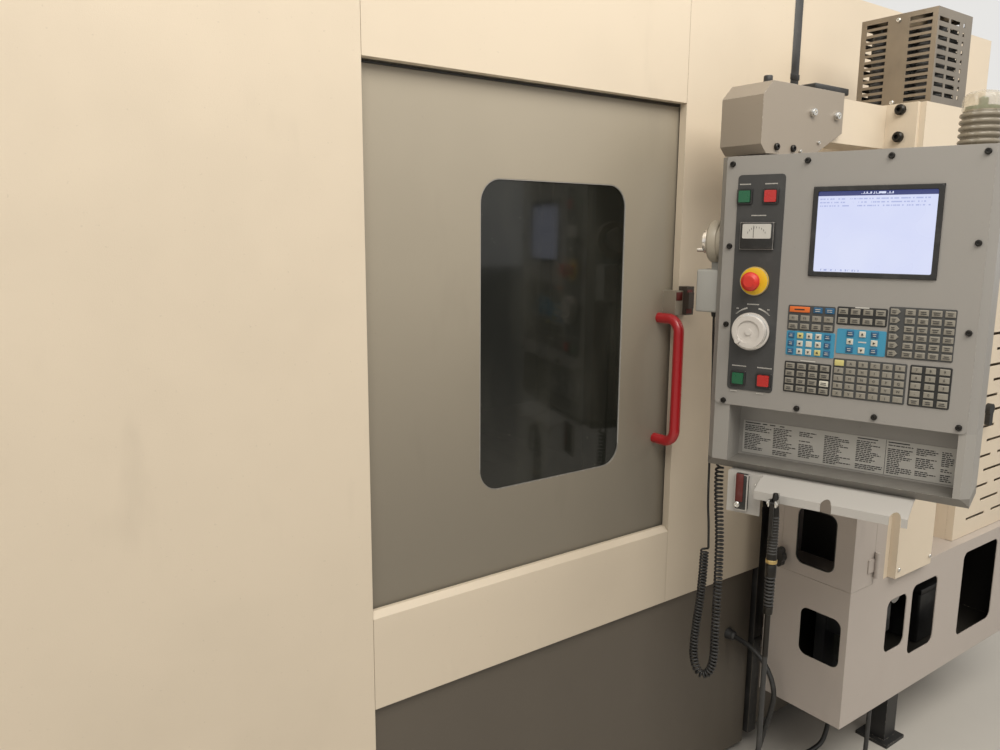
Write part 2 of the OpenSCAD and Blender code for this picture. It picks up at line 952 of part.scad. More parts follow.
module air_cabinet() {
    h = cab_z1 - cab_z0;
    d = cab_y1 - cab_y;
    strip_x0 = cab_x + corner_w + 0.5;
    color("lightgray") {
        difference() {
            translate([cab_x, cab_y, cab_z0])
                cube([cab_w, d, h]);
            translate([cab_x + sheet, cab_y + sheet, cab_z0 + sheet])
                cube([cab_w - 2 * sheet, d - 2 * sheet, h - 2 * sheet]);
            // Window in the left face
            translate([cab_x - 1, cab_y + 76, cab_z0 + 223])
                along_x(sheet + 2)
                    round_rect(116, 132, port_r);
            // Windows in the long face
            for (w = [[237, 100, 150, 225], [385, 140, 204, 207], [714, 220, 262, 205]])
                translate([cab_x + w[0], cab_y - 1, cab_z0 + w[3]])
                    along_y(sheet + 2)
                        round_rect(w[1], w[2], port_r);
        }
        // Corner compartment: top, rear wall and fixed strips
        translate([cab_x, cab_y, corner_z1 - sheet])
            cube([tall_x, cab_depth, sheet]);
        translate([cab_x, cab_y1 - sheet, cab_z1])
            cube([tall_x, sheet, corner_z1 - cab_z1]);
        translate([strip_x0, cab_y, cab_z1])
            cube([cab_x + tall_x - strip_x0, sheet, corner_z1 - cab_z1]);
        translate([cab_x, cab_y + corner_side + 0.6, cab_z1])
            cube([sheet, cab_depth - corner_side - 0.6, corner_z1 - cab_z1]);
        for (z = [cab_z1 + 20, corner_z1 - 90])
            translate([corner_hinge[0], corner_hinge[1], z])
                hinge_fixed();
        // Leg and the brackets that bolt to the wall behind
        translate([cab_x + 440, cab_y + 100, 0]) {
            cube([60, 60, cab_z0]);
            translate([-20, -20, 0])
                cube([100, 100, 10]);
        }
        for (x = [cab_x + 130, cab_x + cab_w - 190])
            for (z = [cab_z0 + 40, cab_z1 - 120])
                translate([x, cab_y1 - 1, z])
                    cube([60, y_panel - cab_y1 + 1, 60]);
    }
}

module air_unit() {
    color("dimgray")
        translate([cab_x, cab_y + 90, cab_z0 + sheet]) {
            // Mounting rail on posts
            translate([150, 60, 0])
                cube([330, 30, 250]);
            // Filter, regulator and lubricator bowls
            for (x = [190, 265, 340])
                translate([x, 25, 0]) {
                    translate([0, 0, 70])
                        cylinder(d = 56, h = 90);
                    translate([-32, -32, 160])
                        cube([64, 68, 44]);
                    translate([0, 0, 204])
                        cylinder(d = 40, h = 36);
                }
            // Gauges
            translate([265, -26, 182])
                rod_y(44, 20);
            translate([405, 0, 226])
                rod_y(60, 20);
            translate([385, 18, 100])
                cube([40, 43, 140]);
            // Lubricator box behind the large window
            translate([600, 20, 0])
                cube([250, 125, 180]);
        }
}

module corner_door() {
    h = corner_z1 - sheet - cab_z1 - 2 * 0.6;
    side_d = corner_side;
    color("lightgray")
        translate([cab_x, cab_y, cab_z1 + 0.6])
            difference() {
                union() {
                    cube([sheet, side_d, h]);
                    cube([corner_w - 0.5, sheet, h]);
                    // Folded stiffening edges
                    translate([0, side_d - sheet, 70])
                        cube([14, sheet, h - 70]);
                    for (z = [0, h - sheet])
                        translate([0, 0, z]) {
                            cube([14, side_d, sheet]);
                            cube([corner_w - 0.5, 14, sheet]);
                        }
                    for (z = [20 - 0.6, corner_z1 - cab_z1 - 90 - 0.6])
                        translate([corner_w, -8, z])
                            hinge_moving();
                }
                translate([-1, 105, 108])
                    along_x(sheet + 2)
                        round_rect(108, 150, port_r);
                translate([-1, 193, 38])
                    rod_x(12 + 2 * run_gap, sheet + 2);
                for (z = [20 - 0.6, corner_z1 - cab_z1 - 90 - 0.6])
                    translate([corner_w, -8, z])
                        cylinder(d = 6 + 2 * run_gap, h = 70);
            }
}

module corner_latch() {
    color("black")
        translate([cab_x, cab_y + 193, cab_z1 + 38.6]) {
            translate([-12, 0, 0])
                rod_x(12, 12 + sheet + 8);
            translate([-30, 0, 0])
                along_x(18)
                    union() {
                        round_rect(20, 52, 9);
                        circle(d = 30);
                    }
            // Tongue that swings behind the fixed strip
            translate([sheet + latch_gap, -9, -28])
                cube([4, 18, 36]);
        }
}

module tall_cabinet() {
    d = cab_rear - cab_y - 2;
    color("lightgray")
        union() {
            translate([tall_x0, cab_y + 2, cab_z1])
                difference() {
                    cube([tall_w, d, tall_z1 - cab_z1]);
                    translate([sheet, sheet, -1])
                        cube([tall_w - 2 * sheet, d - 2 * sheet, tall_z1 - cab_z1 - sheet + 1]);
                }
            // Raised cover over the lower part
            translate([tall_x0 + 22, cab_y - 20, cab_z1 + 2])
                cube([tall_w - 22, 23, 380]);
        }
}

module resistor_cage() {
    w = 167;
    d = 190;
    h = 217;
    t = 1.5;
    color("silver")
        translate([tall_x0 + 29, cab_y + 9, tall_z1])
            difference() {
                cube([w, d, h]);
                translate([t, t, -1])
                    cube([w - 2 * t, d - 2 * t, h - t + 1]);
                // Slots in the left and right sides
                for (row = [0:12])
                    for (y = [13, 122])
                        translate([-1, y, 10 + row * 15.5])
                            cube([w + 2, 54, 9]);
                // Slots in the front and rear sides
                for (row = [0:8])
                    for (slot = [[8, 44], [62, 44], [124, 8]])
                        translate([slot[0], -1, 18 + row * 21])
                            cube([slot[1], d + 2, 10]);
            }
}

module electrical_cabinet() {
    y0 = elec_y + elec_door_t + slide_gap;
    d = cab_rear - y0;
    h = elec_z1 - cab_z1;
    color("linen")
        translate([elec_x0, y0, cab_z1]) {
            difference() {
                cube([elec_w, d, h]);
                translate([30, -1, 30])
                    cube([elec_w - 60, d - sheet + 1, h - 60]);
            }
            // Mounting plate with drive modules and wiring ducts
            translate([60, d - 40, 60])
                cube([elec_w - 120, 38, h - 120]);
            for (k = [0:3])
                translate([90 + k * 112, d - 220, 645])
                    cube([96, 190, 320]);
            for (k = [0:5])
                translate([90 + k * 74, d - 140, 380])
                    cube([60, 110, 180]);
            for (z = [140, 590, 980])
                translate([80, d - 90, z])
                    cube([elec_w - 160, 55, 50]);
        }
    color("linen")
        for (z = [cab_z1 + 120, elec_z1 - 190])
            translate([elec_hinge[0], elec_hinge[1], z]) {
                hinge_fixed();
                for (k = [0, 52])
                    translate([2, 4.5, k])
                        cube([30, elec_door_t + slide_gap + 4.5, 16]);
            }
}

module electrical_door() {
    w = elec_w - 34;
    h = elec_z1 - cab_z1;
    color("linen")
        difference() {
            union() {
                translate([elec_x0, elec_y, cab_z1 + 1])
                    tray_panel(w, elec_door_t, h - 1, sheet);
                for (z = [cab_z1 + 120, elec_z1 - 190])
                    translate([elec_hinge[0], elec_hinge[1], z])
                        hinge_moving();
            }
            // Staggered rows of ventilation slots
            for (row = [0:12])
                for (x = row % 2 == 0 ? [75, 236, 397] : [155, 316])
                    translate([elec_x0 + x, elec_y - 1, cab_z1 + 48 + row * 46])
                        cube([118, sheet + 2, 8]);
            translate([elec_x0 + 105, elec_y - 1, cab_z1 + 388])
                rod_y(16 + 2 * run_gap, sheet + 2);
            for (z = [cab_z1 + 120, elec_z1 - 190])
                translate([elec_hinge[0], elec_hinge[1], z])
                    cylinder(d = 6 + 2 * run_gap, h = 70);
        }
}

module electrical_handle() {
    color("black")
        translate([elec_x0 + 105, elec_y, cab_z1 + 388]) {
            translate([0, -12, 0])
                rod_y(16, 12 + sheet + 8);
            translate([0, -26, 0])
                along_y(14)
                    union() {
                        circle(d = 32);
                        translate([0, -18])
                            round_rect(20, 62, 8);
                    }
            translate([-10, sheet + slide_gap, -10])
                cube([20, 5, 30]);
        }
}

// Arm and swivel cover

module boom_arm() {
    color("linen")
        difference() {
            union() {
                translate([pend_ax, pend_ay - arm_d / 2, arm_z0])
                    cube([tall_x0 - pend_ax - 12, arm_d, arm_h]);
                translate([tall_x0 - 12, pend_ay - arm_d / 2 - 77, arm_z0 - 2])
                    cube([12, arm_d + 154, arm_h + 5]);
                translate([pend_ax, pend_ay, cover_z0 + 6])
                    cylinder(d = post_d + 40, h = arm_z1 - cover_z0 - 6);
            }
            translate([pend_ax, pend_ay, cover_z0])
                cylinder(r = post_d / 2 + run_gap, h = 200);
            translate([pend_ax + post_d, pend_ay - arm_d / 2 + 5, arm_z0 + 5])
                cube([tall_x0 - pend_ax - post_d - 17, arm_d - 10, arm_h - 10]);
        }
}

module swivel_cover() {
    w = cover_x1 - cover_x0;
    h = cover_z1 - cover_z0;
    t = 2;
    b = 18;
    c = 30;
    color("silver")
        translate([cover_x0, pend_ay - cover_d / 2, cover_z0])
            difference() {
                along_y(cover_d)
                    polygon([[0, b], [b, 0], [w - 115, 0], [w, 60], [w, h], [c, h], [0, h - c]]);
                translate([0, t, 0])
                    along_y(cover_d - 2 * t)
                        polygon([[t, b + 1], [b + 1, t], [w - 116, t], [w - t, 61], [w - t, h - t],
                                 [c + 1, h - t], [t, h - c - 1]]);
                // Way through for the post and the arm
                translate([pend_ax - cover_x0, cover_d / 2, -1])
                    cylinder(d = post_d + 30, h = t + 2);
                translate([w - 118, (cover_d - arm_d) / 2, arm_z0 - cover_z0])
                    cube([120, arm_d, arm_h]);
            }
}

// Pendant

// Plan of the housing with bevelled front edges, moved in by t
module pendant_plan(t) {
    x0 = side_x + t;
    x1 = side_x + pend_w - t;
    y0 = box_y + t;
    y1 = box_y + pend_d - t;
    c = bevel - 0.586 * t;
    polygon([[x0, y1], [x0, y0 + c], [x0 + c, y0], [x1 - c, y0], [x1, y0 + c], [x1, y1]]);
}

module pendant_housing() {
    post_z1 = arm_z1 - 4;
    color("silver")
        on_pendant()
            difference() {
                union() {
                    translate([0, 0, pend_z])
                        linear_extrude(pend_h)
                            pendant_plan(0);
                    translate([0, 0, pend_z1 - 1])
                        cylinder(d = post_d, h = post_z1 - pend_z1 + 1);
                }
                translate([0, 0, pend_z + 2])
                    linear_extrude(pend_h - 4)
                        pendant_plan(2);
                translate([side_x + bevel + 6, box_y - 1, pend_z + 8])
                    cube([pend_w - 2 * bevel - 12, 4, pend_h - 16]);
                translate([0, 0, pend_z1 - 10])
                    cylinder(d = post_d - 16, h = post_z1);
            }
}

// Holes of the push buttons, as X and Z in the face
button_spots = [[9, 1601], [63, 1601], [17, 1216], [72, 1216]];
estop_z = 1426;
dial_z = 1320;
screen_x = 264;
screen_z = 1529;
key_groups = [
    // left, bottom, columns, rows, column pitch, row pitch
    [117, 1332, 4, 3, 23, 17],
    [117, 1280, 5, 3, 18, 16.5],
    [117, 1202, 4, 4, 23, 15.7],
    [213, 1350, 4, 2, 23, 18],
    [216, 1292, 4, 3, 22.4, 16],
    [213, 1202, 6, 5, 22.4, 15.5],
    [308, 1292, 5, 6, 23, 16.2],
    [354, 1202, 3, 5, 24, 15.5]
];
key_w = 17;
key_h = 10.5;

collar_h = 4;
plate_t = 1;

module face_holes() {
    for (spot = button_spots)
        translate([spot[0], -10, spot[1]])
            along_y(face_t + 12)
                square(button + 2 * slide_gap, center = true);
    translate([strip_x, -10, estop_z])
        rod_y(22 + 2 * run_gap, face_t + 12);
    translate([strip_x, -10, dial_z])
        rod_y(14 + 2 * run_gap, face_t + 12);
    translate([screen_x, -10, screen_z])
        along_y(face_t + 12)
            square([screen_w + 2 * bezel + 0.6, screen_h + 2 * bezel + 0.6], center = true);
}

module pendant_face() {
    color("silver")
        on_pendant()
            translate([0, face_y, 0])
                difference() {
                    union() {
                        translate([side_x + pend_w / 2, 0, pend_z + pend_h / 2])
                            along_y(face_t)
                                round_rect(pend_w - 2 * bevel, pend_h, 10);
                        // Dark plate under the switches
                        translate([strip_x + 2, -plate_t, 1418])
                            along_y(plate_t + 1)
                                round_rect(98, 454, 8);
                        // Collars of the push buttons
                        for (spot = button_spots)
                            translate([spot[0], -collar_h - plate_t, spot[1]])
                                along_y(collar_h + 1)
                                    square(button + 7, center = true);
                        // Case of the load meter
                        translate([strip_x - 35, -8, 1492])
                            cube([70, 8, 56]);
                        // Collar of the emergency stop
                        translate([strip_x, -7, estop_z])
                            rod_y(estop_ring, 7);
                    }
                    face_holes();
                    translate([strip_x - 29, -9, 1514])
                        cube([58, 2, 28]);
                }
}

module lcd_screen() {
    proud = 2;
    color("lavender")
        on_pendant()
            translate([screen_x, face_y - proud, screen_z])
                difference() {
                    along_y(proud + face_t + 22)
                        square([screen_w + 2 * bezel, screen_h + 2 * bezel], center = true);
                    translate([0, -1, 0])
                        along_y(proud + 2)
                            square([screen_w, screen_h], center = true);
                }
}

module keypad() {
    color("darkgray")
        on_pendant()
            translate([0, face_y, 0])
                for (g = key_groups) {
                    span_x = (g[2] - 1) * g[4] + key_w;
                    span_z = (g[3] - 1) * g[5] + key_h;
                    translate([g[0] - 3, -1, g[1] - 3])
                        cube([span_x + 6, 1, span_z + 6]);
                    for (c = [0:g[2] - 1])
                        for (r = [0:g[3] - 1])
                            translate([g[0] + c * g[4], -3, g[1] + r * g[5]])
                                cube([key_w, 2, key_h]);
                }
}

// A square push button that slides in its collar
module push_button(spot, tint) {
    front = collar_h + plate_t + button_travel;
    color(tint)
        on_pendant()
            translate([spot[0], face_y - front, spot[1]])
                along_y(front + face_t + 12)
                    round_rect(button, button, 2);
}

module power_on_button() {
    push_button(button_spots[0], "green");
}

module power_off_button() {
    push_button(button_spots[1], "red");
}

module cycle_start_button() {
    push_button(button_spots[2], "green");
}

module feed_hold_button() {
    push_button(button_spots[3], "red");
}

module estop_button() {
    color("red")
        on_pendant()
            translate([strip_x, face_y - 40, estop_z])
                rotate([-90, 0, 0]) {
                    rotate_extrude()
                        polygon([[0, 0], [estop_d / 2 - 8, 1], [estop_d / 2 - 2, 5],
                                 [estop_d / 2, 10], [estop_d / 2 - 2, 16],
                                 [14, 22], [11, 24], [0, 24]]);
                    cylinder(d = 22, h = 60);
                }
}

module jog_dial() {
    color("gainsboro")
        on_pendant()
            translate([strip_x, face_y - plate_t - 24, dial_z])
                rotate([-90, 0, 0]) {
                    difference() {
                        union() {
                            cylinder(d = dial_d - 12, h = 24 - slide_gap);
                            translate([0, 0, 12])
                                cylinder(d = dial_d, h = 12 - slide_gap);
                        }
                        translate([0, 0, -1])
                            cylinder(d = dial_d - 32, h = 4);
                    }
                    cylinder(d = 14, h = 40);
                    translate([-20, 20, -10])
                        cylinder(d = 10, h = 12);
                }
}

module beacon() {
    r = beacon_d / 2;
    ribs = 5;
    pitch = 12;
    color("gray")
        on_pendant()
            translate([421, -62, pend_z1])
                rotate_extrude()
                    polygon(concat(
                        [[0, 0], [r - 3, 0]],
                        [for (k = [0:ribs - 1]) for (p = [[r - 5, 4], [r, 7], [r, 11], [r - 5, 14]])
                            [p[0], k * pitch + p[1]]],
                        [[r - 6, ribs * pitch + 6], [r - 4, ribs * pitch + 10],
                         [r - 4, beacon_h - 16], [r - 12, beacon_h - 4], [0, beacon_h]]));
}

// Form of the box under the housing, moved in by t
module tray_form(t, over = 0) {
    h = tray_h + sheet + over;
    intersection() {
        translate([0, 0, tray_z])
            linear_extrude(h)
                pendant_plan(t);
        translate([side_x - 1, box_y, tray_z])
            along_x(pend_w + 2)
                polygon([[t, 20 + 0.414 * t], [20 + 0.414 * t, t], [pend_d - t, t],
                         [pend_d - t, h + 1], [t, h + 1]]);
    }
}

module pendant_tray() {
    t = 2;
    color("silver")
        on_pendant() {
            difference() {
                tray_form(0);
                tray_form(t, 1);
                translate([0, box_y - 1, tray_z + 20])
                    cube([tray_w, t + 2, tray_h]);
            }
            // Recess behind the front opening
            intersection() {
                tray_form(1);
                difference() {
                    translate([-t, box_y, tray_z + 18])
                        cube([tray_w + 2 * t, tray_d + t, tray_h + sheet]);
                    translate([0, box_y - 1, tray_z + 20])
                        cube([tray_w, tray_d + 1, tray_h + sheet]);
                }
            }
        }
}

hook_h = 42;

module hook_bracket() {
    t = 2.5;
    color("gainsboro")
        on_pendant()
            translate([0, face_y, tray_z]) {
                difference() {
                    translate([80, 0, 0])
                        along_x(hook_w)
                            polygon([[50, 0], [50, -t], [12, -t], [-43.5, -25], [-43.5, -41],
                                     [-46, -41], [-46, -23], [10, 0]]);
                    for (x = [227, 356])
                        translate([x, -48, -hook_h])
                            along_y(32) {
                                translate([-notch_w / 2, 0])
                                    square([notch_w, 14]);
                                translate([0, 14])
                                    circle(d = notch_w);
                            }
                }
                // Plate beside it with the channel of a spanner holder
                translate([8, -4.5, -92])
                    cube([74, t, 92]);
                translate([8, -4.5, -t])
                    cube([74, 60, t]);
                translate([27, -13.5, -84])
                    cube([29, 9.5, 84 - t]);
            }
}

// Remote jog unit on the left side of the pendant

module remote_unit() {
    bore_r = 5 + run_gap;
    color("lightgray")
        on_pendant()
            translate([side_x, -58, 0]) {
                translate([-30, 0, 1507])
                    rotate([0, 90, 0])
                        rotate_extrude()
                            polygon([[bore_r, 0], [remote_d / 2, 0], [remote_d / 2, 20],
                                     [remote_d / 2 - 7, 20], [remote_d / 2 - 7, 30], [0, 30],
                                     [0, 18], [bore_r, 18]]);
                translate([-50, -36, 1352])
                    cube([50, 72, 94]);
                translate([-26, -12, 1440])
                    cube([26, 24, 24]);
            }
}

module remote_wheel() {
    color("silver")
        on_pendant()
            translate([side_x - 30 - slide_gap, -58, 1507])
                rotate([0, -90, 0]) {
                    cylinder(d = 62, h = 8);
                    cylinder(d = 54, h = 15);
                    translate([0, 0, -15])
                        cylinder(d = 10, h = 16);
                    translate([-18, -16, 14])
                        cylinder(d = 10, h = 14);
                }
}

// Air gun that hangs on the hook bracket

gun_x = 132;
gun_y = face_y - 64;
gun_z = tray_z - hook_h;
relief_z = gun_z - 330;
lever_y = -20;

module air_gun() {
    color("dimgray")
        on_pendant()
            translate([gun_x, gun_y, gun_z]) {
                // Body, grip and coupling
                translate([0, 0, -12])
                    cylinder(d = 16, h = 40);
                translate([0, 0, -150])
                    cylinder(d = 22, h = 140);
                translate([0, 0, -176])
                    cylinder(d = 28, h = 27);
                // Bend relief of the hose
                translate([0, 0, relief_z - gun_z])
                    cylinder(d1 = 18, d2 = 24, h = 155);
                // Hook that hangs on the bracket
                translate([-3, 0, 14])
                    cube([6, 18, 10]);
                for (x = [-9, 5])
                    translate([x, lever_y - 4, 4])
                        cube([4, 22, 14]);
                translate([-9, lever_y, 11])
                    rod_x(4, 18);
            }
}

module gun_lever() {
    color("indianred")
        on_pendant()
            translate([gun_x, gun_y + lever_y, gun_z + 11])
                difference() {
                    union() {
                        translate([-4.5, 0, 0])
                            rod_x(9, 9);
                        translate([-4, -4.5, -70])
                            cube([8, 5, 70]);
                    }
                    translate([-6, 0, 0])
                        rod_x(4 + 2 * run_gap, 12);
                }
}

// Cords, with routes in the pendant's frame for the remote unit and in the machine's for the hose

lead_path = [[-68, -58, 1352], [-67, -58, 1300], [-64, -58, 1220], [-62, -58, 1140],
             [-61, -58, 1060], [-62, -58, 980], [-62, -58, 900], [-61, -58, 850],
             [-60, -58, 800]];
curl_path = [[-60, -58, 800], [-61, -58, 760], [-62, -58, 720], [-64, -58, 680],
             [-67, -58, 640], [-71, -58, 600], [-74, -58, 560], [-75, -58, 525],
             [-72, -58, 498], [-63, -58, 476], [-50, -58, 467], [-37, -58, 475],
             [-28, -58, 495], [-24, -58, 525], [-24, -58, 580], [-24, -58, 660],
             [-24, -58, 740], [-26, -58, 820], [-31, -58, 890], [-35, -58, 950],
             [-35, -58, tray_z]];
hose_top = [pend_ax + gun_x * cos(pendant_angle) - gun_y * sin(pendant_angle),
            pend_ay + gun_x * sin(pendant_angle) + gun_y * cos(pendant_angle)];
hose_path = [[0, 0, relief_z], [0, 0, 580], [0, 0, 520], [0, 0, 460], [0, 0, 380],
             [2, 0, 300], [6, 2, 230], [14, 5, 160], [30, 10, 95], [60, 18, 48], [110, 28, 18],
             [180, 38, 7], [260, 46, 7], [340, 53, 7], [420, 59, 7], [500, 64, 8],
             [554, 67, 22], [584, 69, 60], [594, 70, 120], [596, 70, 200], [596, 70, cab_z0]];
cable_path = [[gland_x, y_skirt + sheet, gland_z], [gland_x, -140, 403], [gland_x, -182, 396],
              [gland_x, -225, 373], [gland_x - 1, -255, 335], [gland_x - 2, -267, 294],
              [gland_x - 2, -262, 250], [gland_x - 2, -252, 205], [gland_x - 1, -232, 120],
              [gland_x + 4, -215, 60], [gland_x + 24, -202, 20], [gland_x + 70, -198, 8],
              [gland_x + 150, -215, 8], [gland_x + 230, -235, 8], [gland_x + 285, -245, 24],
              [gland_x + 308, -248, 64], [gland_x + 314, -250, 130], [gland_x + 316, -250, 200],
              [gland_x + 316, -250, cab_z0]];

module remote_lead() {
    color("black")
        on_pendant()
            tube(lead_path, lead_d / 2);
}

module remote_curl() {
    color("black")
        on_pendant()
            tube(curl_path, curl_d / 2, 10);
}

module air_hose() {
    color("black")
        translate([hose_top[0], hose_top[1], 0])
            tube(hose_path, hose_d / 2);
}

module floor_cable() {
    color("black")
        tube(cable_path, cable_d / 2);
}

left_front_panel();
door_header_panel();
right_front_panel();
door_sill_panel();
base_skirt();
enclosure_shell();
door_rail();
door_interlock();
bed_casting();
levelling_feet();
guide_rails();
tool_changer_frame();
air_cabinet();
air_unit();
tall_cabinet();
resistor_cage();
electrical_cabinet();
boom_arm();
swivel_cover();
air_hose();
floor_cable();
front_door();
door_window();
door_handle();
column();
spindle_head();
spindle();
table_saddle();
rotary_table();
changer_shaft();
changer_fork();
partition_wall();
load_pallet();
machining_pallet();
tool_carousel();
tool_change_arm();
chip_auger();
corner_door();
corner_latch();
electrical_door();
electrical_handle();
pendant_housing();
pendant_face();
lcd_screen();
keypad();
pendant_tray();
hook_bracket();
beacon();
remote_unit();
remote_lead();
remote_curl();
air_gun();
gun_lever();
power_on_button();
power_off_button();
cycle_start_button();
feed_hold_button();
estop_button();
jog_dial();
remote_wheel();
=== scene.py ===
"""Looks of a horizontal machining center with a pallet changer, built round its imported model."""

import math
import random

import bmesh
import bpy
from mathutils import Matrix, Vector


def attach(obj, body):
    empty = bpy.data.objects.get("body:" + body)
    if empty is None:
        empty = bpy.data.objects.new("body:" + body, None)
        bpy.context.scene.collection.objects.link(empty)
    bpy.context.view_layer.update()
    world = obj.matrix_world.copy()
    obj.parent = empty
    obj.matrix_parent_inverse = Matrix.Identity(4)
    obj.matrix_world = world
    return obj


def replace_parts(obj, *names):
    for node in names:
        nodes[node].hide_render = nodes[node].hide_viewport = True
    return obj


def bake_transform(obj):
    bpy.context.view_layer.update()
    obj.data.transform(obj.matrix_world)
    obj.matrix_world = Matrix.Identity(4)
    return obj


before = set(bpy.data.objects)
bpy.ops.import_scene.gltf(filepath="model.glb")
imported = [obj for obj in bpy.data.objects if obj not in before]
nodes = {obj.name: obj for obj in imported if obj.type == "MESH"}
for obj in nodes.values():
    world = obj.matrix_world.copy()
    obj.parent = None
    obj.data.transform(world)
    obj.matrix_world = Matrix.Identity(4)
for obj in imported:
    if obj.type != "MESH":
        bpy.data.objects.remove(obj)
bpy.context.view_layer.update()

# The pendant's frame, and the depth of its face in it
PENDANT_TURN = math.radians(-71.8)
PENDANT = Matrix.Translation((1.654, -0.306, 0.0)) @ Matrix.Rotation(PENDANT_TURN, 4, "Z")
FACE = -0.116
# Middles of the screen, the emergency stop and the jog dial on that face
SCREEN = (0.264, 1.529)
STOP = (0.040, 1.426)
DIAL = (0.040, 1.320)
# The air gun's middle, across the face and in front of it
GUN_X, GUN_OUT = 0.132, 0.064
# Outer sides of the shell, the door's sheet, the swivel cover, the arm's end, the cage and the cabinet
SHELL_LEFT, SHELL_BACK, SHELL_TOP = -0.120, 2.580, 2.400
DOOR_Y = -0.095
COVER_Y = -0.359
ARM_END_X = 2.074
CAGE_X = 2.115
CAB_X = 1.936
# Floor and back of the air cabinet's compartment, where its fittings stand
BAY = Vector((CAB_X, -0.349, 0.273))
# Stands a flat outline up, its thickness growing to the front, and points a lathed piece there
UPRIGHT = Matrix.Rotation(math.radians(90), 4, "X")


def mm(*values):
    """Metres from millimetres."""
    return tuple(value / 1000 for value in values)


def shift(x, y, z):
    """A move along the axes."""
    return Matrix.Translation((x, y, z))


def facing_front(y):
    """A place for flat pieces that stand at the depth Y and face the front."""
    return shift(0, y, 0) @ UPRIGHT


def facing_left(x):
    """A place for flat pieces on a wall at X that faces left, their own X along the machine's Y."""
    quarter = Matrix.Rotation(math.radians(-90), 4, "Z")
    return shift(x, 0, 0) @ quarter @ Matrix.Scale(-1, 4, (1, 0, 0)) @ UPRIGHT


def on_face(x, z, out=0.0):
    """A place on the pendant's face: X and Y of a flat piece along it, its thickness to the front."""
    return PENDANT @ shift(x, FACE - out, z) @ UPRIGHT


def add_object(name, data):
    """Puts an object with this data into the scene."""
    made = bpy.data.objects.new(name, data)
    bpy.context.scene.collection.objects.link(made)
    return made


# Camera and light


def add_camera():
    """The camera that took the photograph, as fitted to its straight edges."""
    look = Vector((0.5795, 0.7966, -0.17196)).normalized()
    right = look.cross(Vector((0.0955, 0.1431, 0.98507))).normalized()
    data = bpy.data.cameras.new("photo_camera")
    data.sensor_width = 36
    data.lens = 29.05
    data.clip_start = 0.05
    data.clip_end = 80
    camera = add_object("photo_camera", data)
    aim = Matrix((right, right.cross(look), -look)).transposed().to_4x4()
    camera.matrix_world = shift(0.114, -1.45, 1.52) @ aim
    bpy.context.scene.camera = camera


def add_lamp(name, place, aim, size, power):
    """A warm ceiling panel that faces its aim."""
    data = bpy.data.lights.new(name, "AREA")
    data.shape = "RECTANGLE"
    data.size, data.size_y = size
    data.energy = power
    data.color = (1.0, 0.94, 0.84)
    lamp = add_object(name, data)
    lamp.location = place
    lamp.rotation_euler = (Vector(aim) - Vector(place)).to_track_quat("-Z", "Y").to_euler()


def add_light():
    """Four ceiling panels in a pale room, which looks brighter than it shines."""
    world = bpy.data.worlds.new("pale_room")
    world.use_nodes = True
    tree = world.node_tree
    tree.nodes.clear()
    fill, seen = (tree.nodes.new("ShaderNodeBackground") for _ in range(2))
    for shade, colour, strength in (
        (fill, (1.0, 0.97, 0.93, 1), 0.24),
        (seen, (0.80, 0.79, 0.77, 1), 1.0),
    ):
        shade.inputs["Color"].default_value = colour
        shade.inputs["Strength"].default_value = strength
    rays = tree.nodes.new("ShaderNodeLightPath").outputs
    bent, straight = (tree.nodes.new("ShaderNodeMath") for _ in range(2))
    bent.operation = straight.operation = "ADD"
    straight.use_clamp = True
    mix = tree.nodes.new("ShaderNodeMixShader")
    out = tree.nodes.new("ShaderNodeOutputWorld")
    for start, end in (
        (rays["Is Glossy Ray"], bent.inputs[0]),
        (rays["Is Transmission Ray"], bent.inputs[1]),
        (rays["Is Camera Ray"], straight.inputs[0]),
        (bent.outputs[0], straight.inputs[1]),
        (straight.outputs[0], mix.inputs[0]),
        (fill.outputs[0], mix.inputs[1]),
        (seen.outputs[0], mix.inputs[2]),
        (mix.outputs[0], out.inputs[0]),
    ):
        tree.links.new(start, end)
    bpy.context.scene.world = world
    add_lamp("ceiling_front", (0.3, -2.6, 4.3), (1.0, 0.0, 1.3), (4.0, 2.2), 160)
    add_lamp("ceiling_right", (3.6, -2.4, 3.6), (2.2, -0.2, 1.0), (2.0, 1.6), 34)
    add_lamp("ceiling_rear", (0.6, 5.6, 4.2), (1.0, 2.6, 1.2), (4.0, 2.5), 200)
    add_lamp("ceiling_left", (-3.6, 1.6, 4.2), (0.0, 1.2, 1.2), (2.5, 4.0), 150)


# Shader sums


class Value:
    """One output of a shader tree; sums on it add the math nodes that they need."""

    def __init__(self, finish, out):
        self.finish = finish
        self.out = out

    def sum(self, operation, *values, clamp=False):
        settings = {"operation": operation, "use_clamp": clamp}
        return self.finish.node("ShaderNodeMath", settings, dict(enumerate(values)))

    def __add__(self, other):
        return self.sum("ADD", self, other)

    __radd__ = __add__

    def __sub__(self, other):
        return self.sum("SUBTRACT", self, other)

    def __rsub__(self, other):
        return self.sum("SUBTRACT", other, self)

    def __mul__(self, other):
        return self.sum("MULTIPLY", self, other)

    __rmul__ = __mul__

    def clamp(self):
        return self.sum("ADD", self, 0.0, clamp=True)

    def below(self, edge):
        return self.sum("LESS_THAN", self, edge)

    def above(self, edge):
        return self.sum("GREATER_THAN", self, edge)

    def between(self, low, high):
        return self.above(low) * self.below(high)

    def fade(self, low, high):
        """0 at low and 1 at high, smooth between, also where low is the larger."""
        sockets = {"Value": self, "From Min": low, "From Max": high}
        return self.finish.node("ShaderNodeMapRange", {"interpolation_type": "SMOOTHSTEP"}, sockets)


